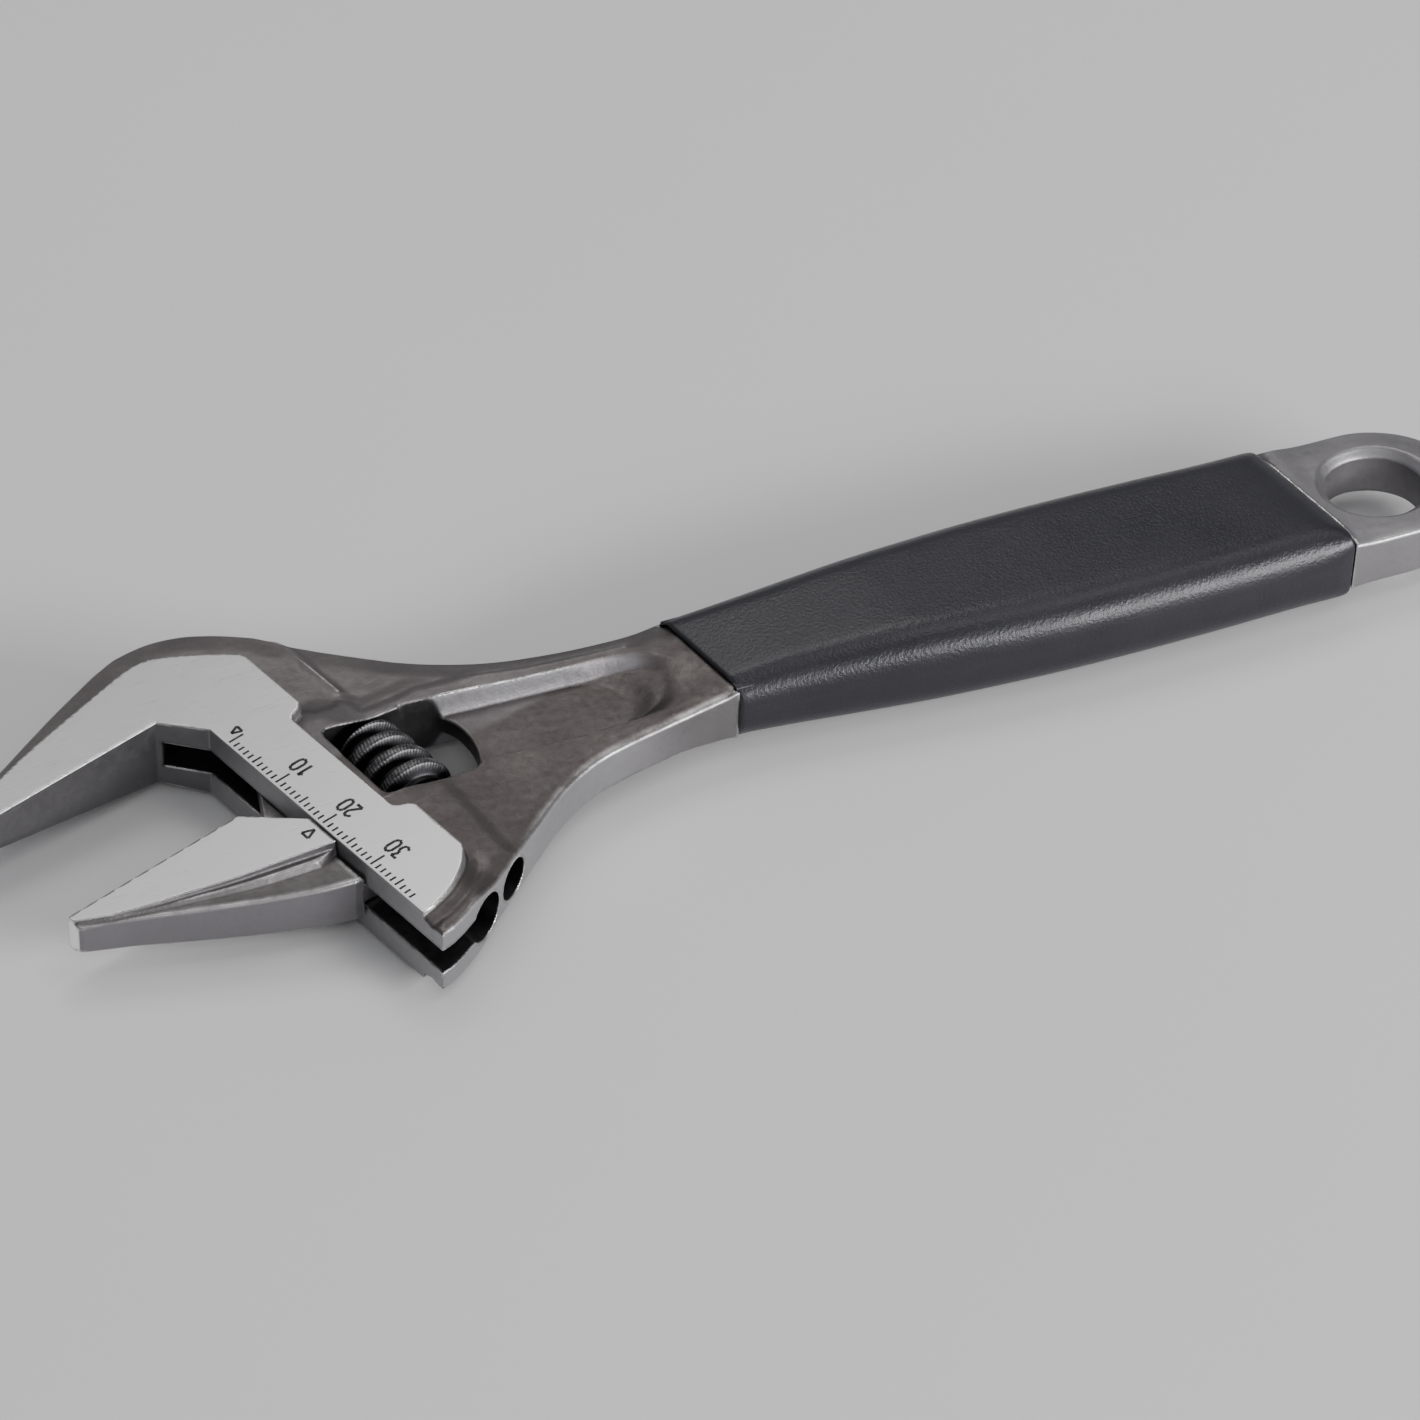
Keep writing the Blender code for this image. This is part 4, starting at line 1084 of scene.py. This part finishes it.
def etched(name, bars, body):
    """Thin closed bars lying in a ground face: each is (u0, v0, u1, v1, width)."""
    points, faces = [], []
    for u0, v0, u1, v1, width in bars:
        along = Vector((u1 - u0, v1 - v0)).normalized()
        across = Vector((-along.y, along.x)) * width / 2
        base = len(points)
        for lift in (-ETCH_DEPTH, ETCH_LIFT):
            for (u, v), side in (((u0, v0), 1), ((u0, v0), -1), ((u1, v1), -1), ((u1, v1), 1)):
                pu, pv = u + across.x * side, v + across.y * side
                points.append((pu, pv, ground_height(pu) + lift))
        faces += list(BAR_FACES + base)
    mesh_object(name, to_world(np.array(points), head=True), faces, INK_LOOK, body)


def scale_bars():
    bars = []
    for mm in range(SCALE_LENGTH + 1):
        length = 2.3 if mm % 10 == 0 else 1.5 if mm % 5 == 0 else 1.0
        bars.append((TICK_U, mm, TICK_U - length, mm, TICK_WIDTH))
    return bars


# each digit is one stroke on a 1 x 1.6 field, read with x to the right and y up
DIGITS = {
    "0": [(0.1, 0.3), (0.1, 1.3), (0.35, 1.6), (0.65, 1.6), (0.9, 1.3), (0.9, 0.3), (0.65, 0.0),
          (0.35, 0.0), (0.1, 0.3)],
    "1": [(0.25, 1.2), (0.6, 1.6), (0.6, 0.0)],
    "2": [(0.1, 1.25), (0.3, 1.55), (0.7, 1.6), (0.9, 1.25), (0.8, 0.9), (0.1, 0.0), (0.95, 0.0)],
    "3": [(0.1, 1.6), (0.9, 1.6), (0.5, 0.98), (0.85, 0.75), (0.85, 0.25), (0.6, 0.0), (0.3, 0.0),
          (0.1, 0.25)],
}


def number_bars(text, v_mid):
    """Digit strokes; the text runs toward -v with its tops toward +u."""
    bars = []
    start = v_mid + DIGIT_ADVANCE * len(text) / 2
    for place, digit in enumerate(text):
        left = start - place * DIGIT_ADVANCE
        for (x0, y0), (x1, y1) in zip(DIGITS[digit], DIGITS[digit][1:]):
            bars.append((DIGIT_FOOT_U + y0 * DIGIT_SIZE, left - x0 * DIGIT_SIZE * DIGIT_NARROWING,
                         DIGIT_FOOT_U + y1 * DIGIT_SIZE, left - x1 * DIGIT_SIZE * DIGIT_NARROWING,
                         STROKE_WIDTH))
    return bars


def pointer_bars(corners):
    return [(*corners[i], *corners[(i + 1) % 3], POINTER_WIDTH) for i in range(3)]


def build_marks():
    bars = scale_bars()
    for number in (10, 20, 30):
        bars += number_bars(str(number), number)
    bars += pointer_bars([(-0.75, -1.15), (-2.1, -0.55), (-2.1, -1.75)])
    etched("etched_scale", bars, "wrench_frame")
    etched("etched_pointer", pointer_bars([(1.9, 20.3), (3.5, 19.6), (3.5, 21.0)]), "moving_jaw")


# ---- Stage ----
FLOOR_HALF = 3.0               # metres
FLOOR_DROP = 0.02              # mm under the tool
# name, place in metres, length, width, watts, tint
LIGHTS = [("back_softbox", (-0.205, -0.53, 0.90), 0.31, 0.42, 1.50, (1.0, 0.985, 0.97)),
          ("back_fill", (0.215, -0.53, 0.90), 0.53, 0.42, 1.05, (1.0, 0.985, 0.97)),
          ("top_strip", (-0.45, 0.12, 1.15), 0.55, 0.34, 1.6, (1.0, 0.99, 0.98)),
          ("front_key", (0.45, 0.85, 1.00), 0.9, 0.3, 2.2, (0.97, 0.98, 1.0)),
          ("side_strip", (-0.76, 0.98, 0.42), 0.95, 0.21, 20.0, (0.98, 0.98, 1.0))]
LIGHT_TARGET = Vector((0.02, 0, 0))


def build_floor():
    floor = bpy.data.meshes.new("floor")
    corners = [(sx * FLOOR_HALF, sy * FLOOR_HALF, 0) for sx, sy in ((-1, -1), (1, -1), (1, 1), (-1, 1))]
    floor.from_pydata(corners, [], [(0, 1, 2, 3)])
    ground = new_object("floor", floor)
    ground.location.z = -FLOOR_DROP * MM
    n = Nodes("pale_floor")
    shade = n.mix(n.noise(6.0), (0.74, 0.735, 0.73), (0.78, 0.775, 0.77))
    floor.materials.append(n.finish(shade, 0.75, 0.0))


def build_light():
    """Even studio surroundings and soft lamps, each turned to the tool."""
    world = bpy.data.worlds.new("studio")
    bpy.context.scene.world = world
    world.use_nodes = True
    background = world.node_tree.nodes["Background"]
    background.inputs["Color"].default_value = (0.80, 0.82, 0.86, 1.0)
    background.inputs["Strength"].default_value = 0.36
    for name, place, length, width, watts, tint in LIGHTS:
        lamp = bpy.data.lights.new(name, "AREA")
        lamp.shape = "RECTANGLE"
        lamp.size, lamp.size_y = length, width
        lamp.energy = watts
        lamp.color = tint
        obj = new_object(name, lamp)
        obj.location = place
        obj.rotation_euler = (LIGHT_TARGET - obj.location).to_track_quat("-Z", "Y").to_euler()


def build_camera():
    """Looks down on the tool from beyond the moving jaw's side, head to the left."""
    camera = bpy.data.cameras.new("camera")
    camera.sensor_width = 36.0
    camera.lens = 146.17
    obj = new_object("camera", camera)
    obj.location = Vector((242.6, 533.2, 494.18)) * MM + Vector(SHIFT) * MM
    obj.rotation_euler = tuple(math.radians(a) for a in (49.5655, -1.4953, 156.5906))
    bpy.context.scene.camera = obj


build_frame()
build_jaw()
build_worm()
build_pin()
build_spring()
build_grip()
build_marks()
build_floor()
build_light()
build_camera()
